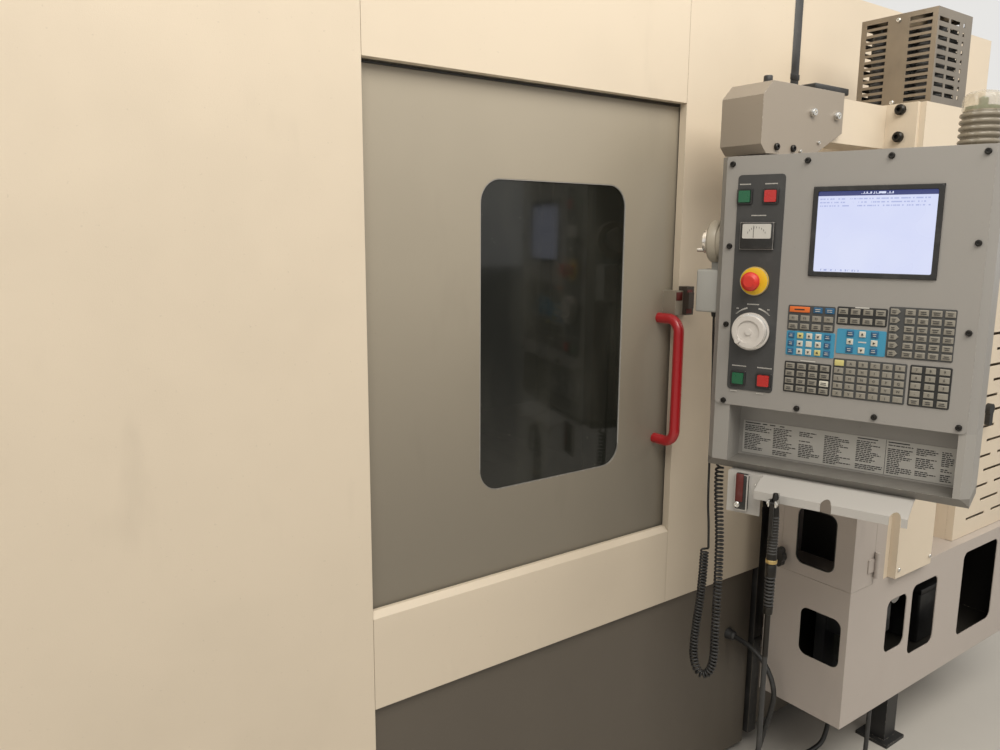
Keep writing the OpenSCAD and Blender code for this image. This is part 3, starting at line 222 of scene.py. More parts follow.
class Finish:
    """A surface finish: a principled shader and the nodes that vary it."""

    def __init__(self, name, **sockets):
        self.material = bpy.data.materials.new(name)
        self.material.use_nodes = True
        self.tree = self.material.node_tree
        self.tree.nodes.clear()
        self.shader = self.tree.nodes.new("ShaderNodeBsdfPrincipled")
        self.last = self.tree.nodes.new("ShaderNodeOutputMaterial")
        self.tree.links.new(self.shader.outputs[0], self.last.inputs[0])
        for socket, value in sockets.items():
            self.shader.inputs[socket.replace("_", " ")].default_value = value

    def node(self, kind, settings=None, sockets=None, out=0):
        made = self.tree.nodes.new(kind)
        for name, value in (settings or {}).items():
            setattr(made, name, value)
        for key, value in (sockets or {}).items():
            if isinstance(value, Value):
                self.tree.links.new(value.out, made.inputs[key])
            else:
                made.inputs[key].default_value = value
        return Value(self, made.outputs[out])

    def feed(self, socket, value):
        self.tree.links.new(value.out, self.shader.inputs[socket])

    def place(self):
        return self.node("ShaderNodeTexCoord", out="Object")

    def axes(self, place):
        made = self.tree.nodes.new("ShaderNodeSeparateXYZ")
        self.tree.links.new(place.out, made.inputs[0])
        return [Value(self, out) for out in made.outputs]

    def noise(self, place, scale, detail=2.0, rough=0.5, stretch=None):
        if stretch:
            place = self.node("ShaderNodeMapping", {}, {"Vector": place, "Scale": stretch})
        sockets = {"Vector": place, "Scale": scale, "Detail": detail, "Roughness": rough}
        return self.node("ShaderNodeTexNoise", {}, sockets)

    def blend(self, factor, first, second):
        made = self.tree.nodes.new("ShaderNodeMix")
        made.data_type = "RGBA"
        for key, value in ((0, factor), (6, first), (7, second)):
            if isinstance(value, Value):
                self.tree.links.new(value.out, made.inputs[key])
            else:
                made.inputs[key].default_value = value
        return Value(self, made.outputs[2])

    def edge(self, radius):
        """The rounded normal, and how far it leans from the true one."""
        soft = self.node("ShaderNodeBevel", {"samples": 4}, {"Radius": radius})
        true = self.node("ShaderNodeNewGeometry", out="Normal")
        settings = {"operation": "DOT_PRODUCT"}
        dot = self.node("ShaderNodeVectorMath", settings, {0: soft, 1: true}, out="Value")
        return soft, 1 - dot

    def bump(self, height, strength, distance, normal=None):
        sockets = {"Height": height, "Strength": strength, "Distance": distance}
        if normal is not None:
            sockets["Normal"] = normal
        self.feed("Normal", self.node("ShaderNodeBump", {}, sockets))


# Finishes by material


def rgba(colour, factor=1.0):
    """A colour made darker or brighter, with full cover."""
    return tuple(c * factor for c in colour) + (1.0,)


def sheet_paint(
    name, colour, rough=0.45, grime=0.35, peel=0.25, bare=None, radius=0.0015, low=0.0, coat=0.0,
    foot=None, dim=None, inside=None
):
    """Sprayed paint on sheet metal: soft edges, orange peel, handling marks and rubbed corners.

    foot gives the X from which, and the Z up to which, another colour is laid on; on the tray this is
    painted shade. dim paints shade where the light falls off: from Z, to Z and by how much, then the same in
    X.
    inside gives the corners of a box in which the sheet is painted near black, as shade in a recess.
    """
    paint = Finish(name, Coat_Roughness=0.3, Coat_Weight=coat)
    place = paint.place()
    x, _, z = axes = paint.axes(place)
    cloud = paint.noise(place, 1.6, 4.0, 0.6)
    smear = paint.noise(place, 9.0, 3.0, 0.6, (1.0, 1.0, 0.35))
    speck = paint.noise(place, 160.0, 2.0)
    soft, lean = paint.edge(radius)
    tone = paint.blend((cloud.fade(0.42, 0.72) * grime).clamp(), rgba(colour), rgba(colour, 0.86))
    tone = paint.blend((smear.fade(0.60, 0.78) * grime * 0.5).clamp(), tone, rgba(colour, 0.74))
    if low:
        dirt = (z.fade(low, 0.0) * (0.25 + 0.6 * smear)).clamp()
        tone = paint.blend(dirt, tone, rgba((0.10, 0.085, 0.065)))
    # Painted shade: darker where the lamps' light falls off, by height and across
    if dim:
        painted_shade = z.fade(dim[0], dim[1]) * dim[2] + x.fade(dim[3], dim[4]) * dim[5]
        tone = paint.blend(painted_shade.clamp(), tone, rgba(colour, 0.0))
    # Painted shade: near black inside a recess
    if inside:
        recess_shade = 1.0
        for axis, start, end in zip(axes, *inside):
            recess_shade = axis.between(start, end) * recess_shade
        tone = paint.blend(recess_shade, tone, rgba((0.030, 0.027, 0.023)))
    # Another colour below a height: a second paint, black legs, or painted shade on the tray
    if foot:
        tone = paint.blend(x.above(foot[0]) * z.below(foot[1]), tone, rgba(foot[2]))
    if bare:
        wear = (lean.fade(0.02, 0.16) * speck.fade(0.50, 0.62)).clamp()
        tone = paint.blend(wear, tone, rgba(bare))
    dots = speck.fade(0.70, 0.76) * 0.35 * grime
    tone = paint.blend(dots.clamp(), tone, rgba(colour, 0.45))
    paint.feed("Base Color", tone)
    paint.feed("Roughness", (rough + (smear - 0.5) * 0.22 + (speck - 0.5) * 0.08).clamp())
    grain = paint.noise(place, 620.0, 1.0)
    paint.bump(grain + cloud * 0.6, peel, 0.0006, soft)
    return paint.material


def cream_paint(name, grime, bare=(0.55, 0.48, 0.38), **more):
    """The machine's cream, rubbed down to the primer unless bare is None."""
    return sheet_paint(name, CREAM, 0.42, grime, bare=bare, **more)


def metal(
    name, colour, rough=0.32, grain=(1.0, 1.0, 1.0), scale=240.0, stain=0.3, radius=0.0008, depth=0.3
):
    """Bare metal with a direction of grind, stains and brighter rubbed edges."""
    bright = Finish(name, Metallic=1.0)
    place = bright.place()
    lines = bright.noise(place, scale, 3.0, 0.6, grain)
    cloud = bright.noise(place, 5.0, 4.0, 0.6)
    soft, lean = bright.edge(radius)
    tone = bright.blend((cloud.fade(0.45, 0.7) * stain).clamp(), rgba(colour), rgba(colour, 0.6))
    tone = bright.blend((lean.fade(0.01, 0.2) * 0.5).clamp(), tone, rgba(colour, 1.25))
    bright.feed("Base Color", tone)
    bright.feed("Roughness", (rough + (lines - 0.5) * 0.25 + (cloud - 0.5) * 0.2).clamp())
    bright.bump(lines, depth, 0.0003, soft)
    return bright.material


def plastic(name, colour, rough=0.4, texture=0.2, scale=900.0, dust=0.25, radius=0.0006, coat=0.0):
    """Moulded plastic or rubber with a fine texture, dust and a sheen of handling."""
    moulded = Finish(name, Coat_Roughness=0.15, Coat_Weight=coat)
    place = moulded.place()
    fine = moulded.noise(place, scale, 2.0)
    cloud = moulded.noise(place, 24.0, 4.0, 0.65)
    soft, lean = moulded.edge(radius)
    pale = tuple(min(1.0, c * 0.8 + 0.09) for c in colour)
    tone = moulded.blend((cloud.fade(0.48, 0.75) * dust).clamp(), rgba(colour), rgba(pale))
    tone = moulded.blend((lean.fade(0.02, 0.3) * dust * 0.6).clamp(), tone, rgba(pale))
    moulded.feed("Base Color", tone)
    moulded.feed("Roughness", (rough + (cloud - 0.5) * 0.3).clamp())
    moulded.bump(fine, texture, 0.0002, soft)
    return moulded.material


def casting(name, colour):
    """Painted or raw cast iron, rough between its machined faces."""
    iron = Finish(name)
    place = iron.place()
    lumps = iron.noise(place, 90.0, 4.0, 0.6)
    cloud = iron.noise(place, 3.0, 4.0)
    soft, lean = iron.edge(0.004)
    tone = iron.blend(cloud.fade(0.4, 0.7), rgba(colour), rgba(colour, 0.75))
    tone = iron.blend((lean.fade(0.05, 0.3) * 0.4).clamp(), tone, rgba(colour, 1.4))
    iron.feed("Base Color", tone)
    iron.feed("Roughness", (0.5 + (lumps - 0.5) * 0.3).clamp())
    iron.bump(lumps, 0.4, 0.002, soft)
    return iron.material


def smoked_pane():
    """The dark laminated pane of the door, with wipe marks and splash spots."""
    pane = Finish("smoked_pane", Coat_Weight=0.3, Coat_Roughness=0.03, IOR=1.5)
    place = pane.place()
    wipe = pane.noise(place, 7.0, 4.0, 0.65, (1.0, 1.0, 0.3))
    drops = pane.noise(place, 230.0, 1.0)
    tone = pane.blend(wipe.fade(0.35, 0.75), rgba((0.010, 0.011, 0.009)), rgba((0.032, 0.033, 0.027)))
    tone = pane.blend(drops.fade(0.76, 0.80), tone, rgba((0.20, 0.19, 0.16)))
    pane.feed("Base Color", tone)
    pane.feed("Roughness", (0.07 + wipe.fade(0.45, 0.8) * 0.16).clamp())
    pane.feed("Alpha", (0.80 + drops.fade(0.76, 0.80) * 0.2).clamp())
    pane.bump(wipe, 0.05, 0.002)
    return pane.material


def clear_plastic(name, tint, alpha):
    """A clear moulded cap or bowl."""
    cap = Finish(name, Roughness=0.08, IOR=1.49, Coat_Weight=0.4)
    place = cap.place()
    haze = cap.noise(place, 60.0, 3.0)
    cap.feed("Base Color", cap.blend(haze.fade(0.4, 0.7), rgba(tint), rgba(tint, 0.8)))
    cap.feed("Alpha", (alpha + haze * 0.15).clamp())
    cap.feed("Roughness", (0.05 + haze * 0.12).clamp())
    return cap.material


def screen_picture():
    """A lit screen: a pale page, a title bar and rows of ruled dashes."""
    lit = Finish(
        "screen_picture",
        Roughness=0.25,
        Coat_Weight=0.5,
        Coat_Roughness=0.05,
        Base_Color=rgba((0.02, 0.02, 0.025)),
        Emission_Strength=0.92,
    )
    middle = tuple(PENDANT @ Vector((SCREEN[0], FACE, SCREEN[1])))
    place = lit.node(
        "ShaderNodeMapping",
        {"vector_type": "TEXTURE"},
        {"Vector": lit.place(), "Location": middle, "Rotation": (0, 0, PENDANT_TURN)},
    )
    x, _, z = lit.axes(place)
    rows = z * 150.0
    within = rows.sum("FRACT", rows)
    seed = lit.node("ShaderNodeCombineXYZ", {}, {0: x * 330.0, 1: rows.sum("FLOOR", rows) * 7.3})
    words = lit.noise(seed, 1.0, 0.0)
    text = within.between(0.35, 0.72) * words.above(0.47)
    text = text * z.between(0.0467, 0.0667) * x.between(-0.103, 0.096)
    foot = z.between(-0.077, -0.073) * x.between(-0.095, -0.02) * words.above(0.5)
    title = z.above(0.0695)
    title_words = title * z.between(0.0725, 0.0765) * x.between(-0.03, 0.03)
    glow = lit.noise(place, 9.0, 2.0)
    page = lit.blend(glow, rgba((0.62, 0.67, 0.96)), rgba((0.78, 0.82, 1.0)))
    page = lit.blend(title, page, rgba((0.014, 0.028, 0.16)))
    page = lit.blend((title_words * words.above(0.45)).clamp(), page, rgba((0.75, 0.8, 1.0)))
    page = lit.blend((text * 0.55 + foot * 0.6).clamp(), page, rgba((0.22, 0.28, 0.62)))
    lit.feed("Emission Color", page)
    lit.feed("Roughness", 0.2 + glow * 0.15)
    return lit.material


# Finishes of this machine
CREAM = (0.78, 0.68, 0.545)
SKIRT = (0.105, 0.090, 0.072)
BEIGE = (0.505, 0.455, 0.420)
BEIGE_BARE = (0.6, 0.55, 0.46)
STEEL = (0.60, 0.58, 0.54)
mat = {
    "cream": cream_paint("cream_paint", 0.35),
    # dim paints shade on the right panel, darker towards the bottom
    "cream_right": cream_paint("cream_paint_right", 0.4, dim=(1.9, 1.0, 0.26, 1.7, 1.9, 0.0)),
    # dim paints shade on the sill, darker towards the bottom and the right
    "cream_sill": cream_paint("cream_paint_sill", 0.5, dim=(0.90, 0.72, 0.14, 0.9, 1.8, 0.16)),
    # low is dirt near the floor; dim paints shade, darker towards the bottom
    "cream_dirt_and_shade": cream_paint("cream_paint_low", 0.5, None, low=0.5, dim=(2.1, 0.7, 0.12, 1.0, 1.1, 0.0)),
    "shell": cream_paint("shell_paint", 0.5, None, foot=(2.0, 0.585, SKIRT)),
    # dim paints shade on the door, darker towards the bottom and the right
    "door": sheet_paint(
        "door_grey",
        (0.42, 0.375, 0.300),
        0.36,
        0.4,
        bare=(0.5, 0.46, 0.38),
        dim=(1.85, 0.80, 0.50, 1.25, 1.66, 0.12),
    ),
    "skirt": sheet_paint("skirt_grey", SKIRT, 0.48, 0.6, low=0.35),
    # inside paints shade: near black in the compartment behind the cabinet's windows
    "beige": sheet_paint(
        "cabinet_beige",
        BEIGE,
        0.45,
        0.45,
        bare=BEIGE_BARE,
        foot=(0.0, 0.2695, (0.02, 0.02, 0.02)),
        inside=((1.9385, -0.4365, 0.2725), (2.9435, -0.1975, 0.6395)),
    ),
    # inside paints shade: near black behind the corner door's face
    "beige_door": sheet_paint(
        "corner_door_beige",
        BEIGE,
        0.45,
        0.45,
        bare=BEIGE_BARE,
        inside=((1.9385, -0.4365, 0.6445), (2.084, -0.2, 1.5)),
    ),
    # inside paints shade: near black in the gap beside the corner compartment
    "cream_tall": cream_paint(
        "cream_paint_cabinet", 0.35, inside=((2.0, -0.4365, 0.60), (2.0885, -0.1, 0.93))
    ),
    "cover": sheet_paint("cover_beige", (0.345, 0.300, 0.250), 0.40, 0.35, bare=(0.7, 0.66, 0.58)),
    "pendant": sheet_paint(
        "pendant_grey", (0.325, 0.313, 0.298), 0.42, 0.3, bare=(0.62, 0.6, 0.55), radius=0.001
    ),
    # foot paints shade on the tray's lower part, darker under its bevel
    "tray": sheet_paint(
        "tray_grey",
        (0.35, 0.338, 0.320),
        0.36,
        0.55,
        bare=(0.7, 0.68, 0.62),
        radius=0.0007,
        foot=(0.0, 1.0284, (0.20, 0.19, 0.175)),
    ),
    "bracket": sheet_paint(
        "bracket_white", (0.50, 0.487, 0.468), 0.34, 0.5, bare=(0.35, 0.33, 0.3), radius=0.0006
    ),
    "column": sheet_paint("column_white", (0.62, 0.60, 0.55), 0.5, 0.5, radius=0.004),
    "frame": sheet_paint("frame_grey", (0.14, 0.15, 0.155), 0.5, 0.5, radius=0.003),
    "handle": sheet_paint(
        "handle_red", (0.42, 0.008, 0.014), 0.30, 0.3, 0.1, bare=(0.18, 0.01, 0.01), coat=0.5
    ),
    "casting": casting("bed_casting_grey", (0.15, 0.16, 0.165)),
    "iron": casting("dark_iron", (0.10, 0.10, 0.10)),
    "ground": metal("ground_steel", STEEL, 0.28, (1.0, 1.0, 0.05)),
    "machined": metal("machined_iron", (0.36, 0.35, 0.34), 0.38, (0.1, 1.0, 1.0)),
    "stainless": metal("stainless_sheet", (0.30, 0.262, 0.215), 0.38, (1.0, 1.0, 0.08), stain=0.45),
    "bolt": metal("bolt_steel", (0.70, 0.69, 0.66), 0.22, stain=0.2),
    "chrome": metal("chromed_wheel", (0.80, 0.79, 0.77), 0.14, stain=0.15, depth=0.1),
    "brass": metal("brass_fitting", (0.62, 0.46, 0.20), 0.3),
    "black_steel": metal("black_screw", (0.045, 0.043, 0.040), 0.36, stain=0.3),
    "black": plastic("black_plastic", (0.018, 0.018, 0.018), 0.42),
    "charcoal": plastic("charcoal_plate", (0.046, 0.047, 0.048), 0.5, dust=0.18),
    "rubber": plastic("cord_rubber", (0.016, 0.016, 0.016), 0.48, dust=0.3, scale=1500.0),
    "hose": plastic("hose_rubber", (0.030, 0.030, 0.030), 0.55, dust=0.5),
    "lock_dark": plastic("lock_dark", (0.050, 0.038, 0.030), 0.5, dust=0.4),
    "lock_red": plastic("lock_red", (0.105, 0.012, 0.009), 0.5, dust=0.3),
    "white": plastic("white_plastic", (0.66, 0.63, 0.60), 0.35, dust=0.15, coat=0.2),
    "remote": plastic("remote_beige", (0.40, 0.36, 0.29), 0.42, dust=0.2),
    "remote_box": plastic("remote_box_grey", (0.42, 0.42, 0.40), 0.4, dust=0.2),
    "grey_key": plastic("grey_key", (0.270, 0.254, 0.218), 0.42, dust=0.15, coat=0.2),
    "pale_key": plastic("pale_key", (0.66, 0.64, 0.56), 0.42, dust=0.1, coat=0.2),
    "yellow_key": plastic("yellow_key", (0.62, 0.56, 0.22), 0.42, dust=0.1, coat=0.2),
    "blue_key": plastic("blue_key", (0.020, 0.110, 0.235), 0.42, dust=0.15, coat=0.2),
    "blue_pad": plastic("blue_pad", (0.050, 0.290, 0.480), 0.45, dust=0.1),
    "grey_pad": plastic("grey_pad", (0.060, 0.062, 0.063), 0.5, dust=0.1),
    "orange_key": plastic("orange_key", (0.72, 0.16, 0.03), 0.45, dust=0.1),
    "yellow": plastic("yellow_collar", (0.78, 0.50, 0.015), 0.4, dust=0.15),
    "red_cap": plastic("red_cap", (0.66, 0.035, 0.022), 0.42, dust=0.12, coat=0.1),
    "red_lens": plastic("red_lens", (0.50, 0.020, 0.016), 0.28, dust=0.1, coat=0.4),
    "green_lens": plastic("green_lens", (0.003, 0.115, 0.045), 0.28, dust=0.1, coat=0.4),
    "beacon": plastic("beacon_ribs", (0.235, 0.205, 0.155), 0.30, dust=0.25, coat=0.5),
    "paper": plastic("pale_card", (0.60, 0.59, 0.56), 0.5, dust=0.15),
    "legend": plastic("legend_white", (0.60, 0.59, 0.56), 0.5, dust=0.05),
    "pane": smoked_pane(),
    "bowl": clear_plastic("smoked_bowl", (0.20, 0.20, 0.16), 0.6),
    "dome": clear_plastic("clear_dome", (0.72, 0.62, 0.46), 0.35),
    "lit": screen_picture(),
}


def dress(name, finish):
    """Gives a CAD node its finish."""
    mesh = nodes[name].data
    mesh.materials.clear()
    mesh.materials.append(mat[finish])


# Mesh helpers


def finish_mesh(mesh, name, finish, body, place=None, sharp=35):
    """Makes an object of a mesh, at the origin, and lets it ride on a body."""
    if place is not None:
        mesh.transform(place)
        if place.to_3x3().determinant() < 0:
            mesh.flip_normals()
    if not mesh.materials:
        mesh.materials.append(mat[finish])
    mesh.shade_smooth()
    mesh.set_sharp_from_angle(angle=math.radians(sharp))
    piece = add_object(name, mesh)
    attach(piece, body)
    return piece


def finish_form(form, name, finish, body, place=None):
    """Makes a piece of a bmesh."""
    mesh = bpy.data.meshes.new(name)
    form.to_mesh(mesh)
    form.free()
    return finish_mesh(mesh, name, finish, body, place)


def baked(holder):
    """The mesh of an object with its modifiers or bevels, without the object."""
    bpy.context.view_layer.update()
    mesh = bpy.data.meshes.new_from_object(
        holder.evaluated_get(bpy.context.evaluated_depsgraph_get())
    )
    bpy.data.objects.remove(holder)
    return mesh


def add_block(form, low, high, edge=0.001, steps=2):
    """Adds a box with rounded edges to a bmesh."""
    low, high = Vector(low), Vector(high)
    made = bmesh.ops.create_cube(form, size=1)["verts"]
    bmesh.ops.scale(form, verts=made, vec=high - low)
    bmesh.ops.translate(form, verts=made, vec=(low + high) / 2)
    if edge:
        edges = list({e for v in made for e in v.link_edges})
        bmesh.ops.bevel(form, geom=edges, offset=edge, segments=steps, profile=0.5, affect="EDGES")


def blocks(name, boxes, finish, body, place=None):
    """One piece of boxes, each with its corners, its edge radius and the steps of the edge."""
    form = bmesh.new()
    for box in boxes:
        add_block(form, *box)
    return finish_form(form, name, finish, body, place)


def add_turned(form, profile, place, steps=32):
    """Adds a closed lathed form about Z, from (radius, height) pairs that rise, to a bmesh."""
    angles = [2 * math.pi * k / steps for k in range(steps)]
    rings = []
    for radius, height in profile:
        spots = [(radius * math.cos(a), radius * math.sin(a), height) for a in angles]
        if radius < 1e-6:
            spots = [(0, 0, height)]
        rings.append([form.verts.new(place @ Vector(spot)) for spot in spots])
    for low, high in zip(rings, rings[1:]):
        if len(low) == 1 and len(high) == 1:
            continue
        for k in range(steps):
            n = (k + 1) % steps
            if len(low) == 1:
                form.faces.new((low[0], high[n], high[k]))
            elif len(high) == 1:
                form.faces.new((low[k], low[n], high[0]))
            else:
                form.faces.new((low[k], low[n], high[n], high[k]))
    for ring, flip in ((rings[0], True), (rings[-1], False)):
        if len(ring) > 1:
            form.faces.new(list(reversed(ring)) if flip else ring)


def turned(name, profile, finish, body, place, steps=32):
    """One lathed piece."""
    form = bmesh.new()
    add_turned(form, profile, Matrix.Identity(4), steps)
    bmesh.ops.recalc_face_normals(form, faces=form.faces[:])
    return finish_form(form, name, finish, body, place)


def round_outline(width, height, radius, centre=(0, 0), steps=8):
    """The corners of a rounded rectangle, anticlockwise."""
    points = []
    for sx, sy, start in ((1, 1, 0), (-1, 1, 90), (-1, -1, 180), (1, -1, 270)):
        cx = centre[0] + sx * (width / 2 - radius)
        cy = centre[1] + sy * (height / 2 - radius)
        for k in range(steps + 1):
            a = math.radians(start + 90 * k / steps)
            points.append((cx + radius * math.cos(a), cy + radius * math.sin(a)))
    return points


def disc_outline(diameter, centre, steps=32):
    """The corners of a round outline, anticlockwise."""
    angles = [2 * math.pi * k / steps for k in range(steps)]
    r = diameter / 2
    return [(centre[0] + r * math.cos(a), centre[1] + r * math.sin(a)) for a in angles]


def plate(name, outlines, thick, finish, body, place, edge=0.0):
    """A flat plate with holes, from outlines in X and Y, its thickness along Z from 0."""
    curve = bpy.data.curves.new(name, "CURVE")
    curve.dimensions = "2D"
    curve.fill_mode = "BOTH"
    curve.extrude = thick / 2 - edge
    curve.bevel_depth = edge
    curve.bevel_resolution = 1
    curve.offset = -edge
    for outline in outlines:
        spline = curve.splines.new("POLY")
        spline.points.add(len(outline) - 1)
        for point, (x, y) in zip(spline.points, outline):
            point.co = (x, y, 0, 1)
        spline.use_cyclic_u = True
    mesh = baked(add_object(name, curve))
    mesh.materials.clear()
    mesh.transform(shift(0, 0, thick / 2))
    return finish_mesh(mesh, name, finish, body, place)


# Cords


def smooth_route(points, steps):
    """A Catmull-Rom line through the points."""
    points = [Vector(p) for p in points]
    ends = [points[0] * 2 - points[1], *points, points[-1] * 2 - points[-2]]
    route = []
    for a, b, c, d in zip(ends, ends[1:], ends[2:], ends[3:]):
        for k in range(steps):
            t = k / steps
            bend = (2 * a - 5 * b + 4 * c - d) * t * t
            route.append(0.5 * (2 * b + (c - a) * t + bend + (3 * b - a - 3 * c + d) * t**3))
    return route + [points[-1]]


def length_of(route):
    """The length along a line of points."""
    return sum((b - a).length for a, b in zip(route, route[1:]))


def cord_curve(name, route, diameter, finish, sides=3):
    """A round cord along a line of points."""
    curve = bpy.data.curves.new(name, "CURVE")
    curve.dimensions = "3D"
    curve.bevel_depth = diameter / 2
    curve.bevel_resolution = sides
    curve.use_fill_caps = True
    spline = curve.splines.new("POLY")
    spline.points.add(len(route) - 1)
    for point, place in zip(spline.points, route):
        point.co = (*place, 1)
    curve.materials.append(mat[finish])
    return add_object(name, curve)


def curly_cord():
    """The remote unit's cord: a straight lead, then a long curly run that hangs in a U."""
    lead = [
        (-68, 1352), (-67, 1300), (-64, 1220), (-62, 1140), (-60, 1060), (-60, 980), (-58, 900),
        (-54, 850),
    ]
    line = [
        (-60, 800), (-61, 760), (-62, 720), (-64, 680), (-67, 640), (-71, 600), (-74, 560),
        (-75, 525), (-72, 498), (-63, 476), (-50, 467), (-37, 475), (-28, 495), (-24, 525),
        (-24, 580), (-24, 660), (-24, 740), (-26, 820), (-31, 890), (-35, 950), (-35, 1008),
    ]
    lead, line = ([PENDANT @ Vector(mm(x, -58, z)) for x, z in run] for run in (lead, line))
    core = smooth_route(line, 40)
    coil_r, wire, per_turn, opening = 0.0082, 0.0054, 14, 0.022
    side = (PENDANT.to_3x3() @ Vector((0, 1, 0))).normalized()
    total = length_of(core)
    goal, turn, walked, k, coil = 0.0, 0.0, 0.0, 0, []
    while goal < total:
        while k < len(core) - 2 and walked + (core[k + 1] - core[k]).length < goal:
            walked += (core[k + 1] - core[k]).length
            k += 1
        step = core[k + 1] - core[k]
        centre = core[k] + step * min(1.0, (goal - walked) / max(step.length, 1e-9))
        across = step.cross(side).normalized()
        coil.append(centre + coil_r * (across * math.cos(turn) + side * math.sin(turn)))
        # The first and last turns open out into the straight ends
        free = max(0.0, 1 - goal / opening, 1 - (total - goal) / opening)
        pitch = 0.0078 + 0.0022 * goal / total + 0.24 * free**3
        ahead = min(pitch / per_turn, 0.0025)
        goal += ahead
        turn += 2 * math.pi * ahead / pitch
    route = smooth_route(lead + coil[:1], 6)[:-1] + coil
    piece = cord_curve("curly_cord", route, wire, "rubber", 1)
    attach(piece, "pendant_body")
    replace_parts(piece, "remote_lead", "remote_curl")
    length_of(route)


def air_hose():
    """The air gun's hose, down to the floor and up into the air cabinet."""
    top = PENDANT @ Vector((GUN_X, FACE - GUN_OUT, 0))
    line = [
        (0, 0, 636), (0, 0, 580), (0, 0, 520), (0, 0, 460), (0, 0, 380), (2, 0, 300), (6, 2, 230),
        (14, 5, 160), (30, 10, 95), (60, 18, 48), (110, 28, 19), (180, 38, 9), (260, 46, 8),
        (340, 53, 8), (420, 59, 8), (500, 64, 9), (554, 67, 22), (584, 69, 60), (594, 70, 120),
        (596, 70, 200), (596, 70, 270),
    ]
    route = smooth_route([top + Vector((x, y, z)) / 1000 for x, y, z in line], 8)
    mesh = baked(cord_curve("air_hose_run", route, 0.012, "hose"))
    mesh.shade_smooth()
    piece = add_object("air_hose_run", mesh)
    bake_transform(piece)
    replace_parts(piece, "air_hose")
    length_of(route)


def power_cable():
    """The cable from the gland in the skirt, along the floor, up into the air cabinet."""
    x = 1902
    line = [
        (x, -102, 405), (x, -140, 403), (x, -182, 396), (x, -225, 373), (x - 1, -255, 335),
        (x - 2, -267, 294), (x - 2, -262, 250), (x - 2, -252, 205), (x - 1, -232, 120),
        (x + 4, -215, 60), (x + 24, -202, 21), (x + 70, -198, 9), (x + 150, -215, 9),
        (x + 230, -235, 9), (x + 285, -245, 24), (x + 308, -248, 64), (x + 314, -250, 130),
        (x + 316, -250, 200), (x + 316, -250, 270),
    ]
    route = smooth_route([Vector(p) / 1000 for p in line], 8)
    piece = cord_curve("power_cable", route, 0.014, "rubber")
    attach(piece, "machine")
    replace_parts(piece, "floor_cable")
    length_of(route)
    gland = [
        (0.0, -0.012), (0.017, -0.012), (0.017, 0.004), (0.015, 0.008), (0.013, 0.022), (0.0075, 0.026),
        (0.0, 0.026),
    ]
    turned("cable_gland", gland, "black", "machine", shift(x / 1000, -0.105, 0.405) @ UPRIGHT, 12)


# Geometry trees


class Tree:
    """A geometry tree that grows a form on points; its inputs are named sockets."""

    def __init__(self, name, **inputs):
        self.group = bpy.data.node_groups.new(name, "GeometryNodeTree")
        face = self.group.interface
        face.new_socket("Geometry", in_out="INPUT", socket_type="NodeSocketGeometry")
        for title, kind in inputs.items():
            title = title.replace("_", " ")
            face.new_socket(title, in_out="INPUT", socket_type="NodeSocket" + kind)
        face.new_socket("Geometry", in_out="OUTPUT", socket_type="NodeSocketGeometry")
        self.given = self.group.nodes.new("NodeGroupInput").outputs
        self.end = self.group.nodes.new("NodeGroupOutput")

    def step(self, kind, sockets, **settings):
        """Adds a node and gives its outputs."""
        made = self.group.nodes.new(kind)
        for name, value in settings.items():
            setattr(made, name, value)
        for key, value in sockets.items():
            if isinstance(value, bpy.types.NodeSocket):
                self.group.links.new(value, made.inputs[key])
            else:
                made.inputs[key].default_value = value
        return made.outputs

    def sum(self, operation, first, second):
        return self.step("ShaderNodeMath", {0: first, 1: second}, operation=operation)[0]

    def tops(self):
        """The faces that look up."""
        normal = self.step("GeometryNodeInputNormal", {})[0]
        height = self.step("ShaderNodeSeparateXYZ", {0: normal})[2]
        return self.step("FunctionNodeCompare", {0: height, 1: 0.9}, operation="GREATER_THAN")[0]

    def push(self, form, faces, distance):
        """Extrudes faces and gives the form and the faces that moved."""
        sockets = {"Mesh": form, "Selection": faces, "Offset Scale": distance}
        made = self.step("GeometryNodeExtrudeMesh", sockets)
        return made["Mesh"], made["Top"]

    def narrow(self, form, faces, factor):
        sockets = {"Geometry": form, "Selection": faces, "Scale": factor}
        return self.step("GeometryNodeScaleElements", sockets)[0]

    def close(self, points, form, **more):
        """Puts the form on the points, makes it real and gives it its finish."""
        sockets = {"Points": points, "Instance": form, **more}
        copies = self.step("GeometryNodeInstanceOnPoints", sockets)[0]
        real = self.step("GeometryNodeRealizeInstances", {0: copies})[0]
        sockets = {"Geometry": real, "Material": self.given["Finish"]}
        dressed = self.step("GeometryNodeSetMaterial", sockets)[0]
        self.group.links.new(dressed, self.end.inputs[0])
        return self.group


def screw_tree():
    """Screw heads on every point, upright along Z, each with a turned socket."""
    tree = Tree("screw_heads", Head_Diameter="Float", Head_Height="Float", Dome="Float", Finish="Material")
    width, height = tree.given["Head Diameter"], tree.given["Head Height"]
    sockets = {"Vertices": 18, "Radius": tree.sum("MULTIPLY", width, 0.5), "Depth": height}
    head = tree.step("GeometryNodeMeshCylinder", sockets, fill_type="NGON")["Mesh"]
    crown, top = tree.push(head, tree.tops(), tree.sum("MULTIPLY", height, tree.given["Dome"]))
    ring, middle = tree.push(tree.narrow(crown, top, 0.78), top, 0.0)
    inner = tree.narrow(ring, middle, 0.55)
    socket, _ = tree.push(inner, middle, tree.sum("MULTIPLY", height, -0.7))
    spin = tree.step("FunctionNodeRandomValue", {2: 0.0, 3: 6.28, "Seed": 4}, data_type="FLOAT")[1]
    turn = tree.step("ShaderNodeCombineXYZ", {2: spin})[0]
    return tree.close(tree.given["Geometry"], socket, Rotation=turn)


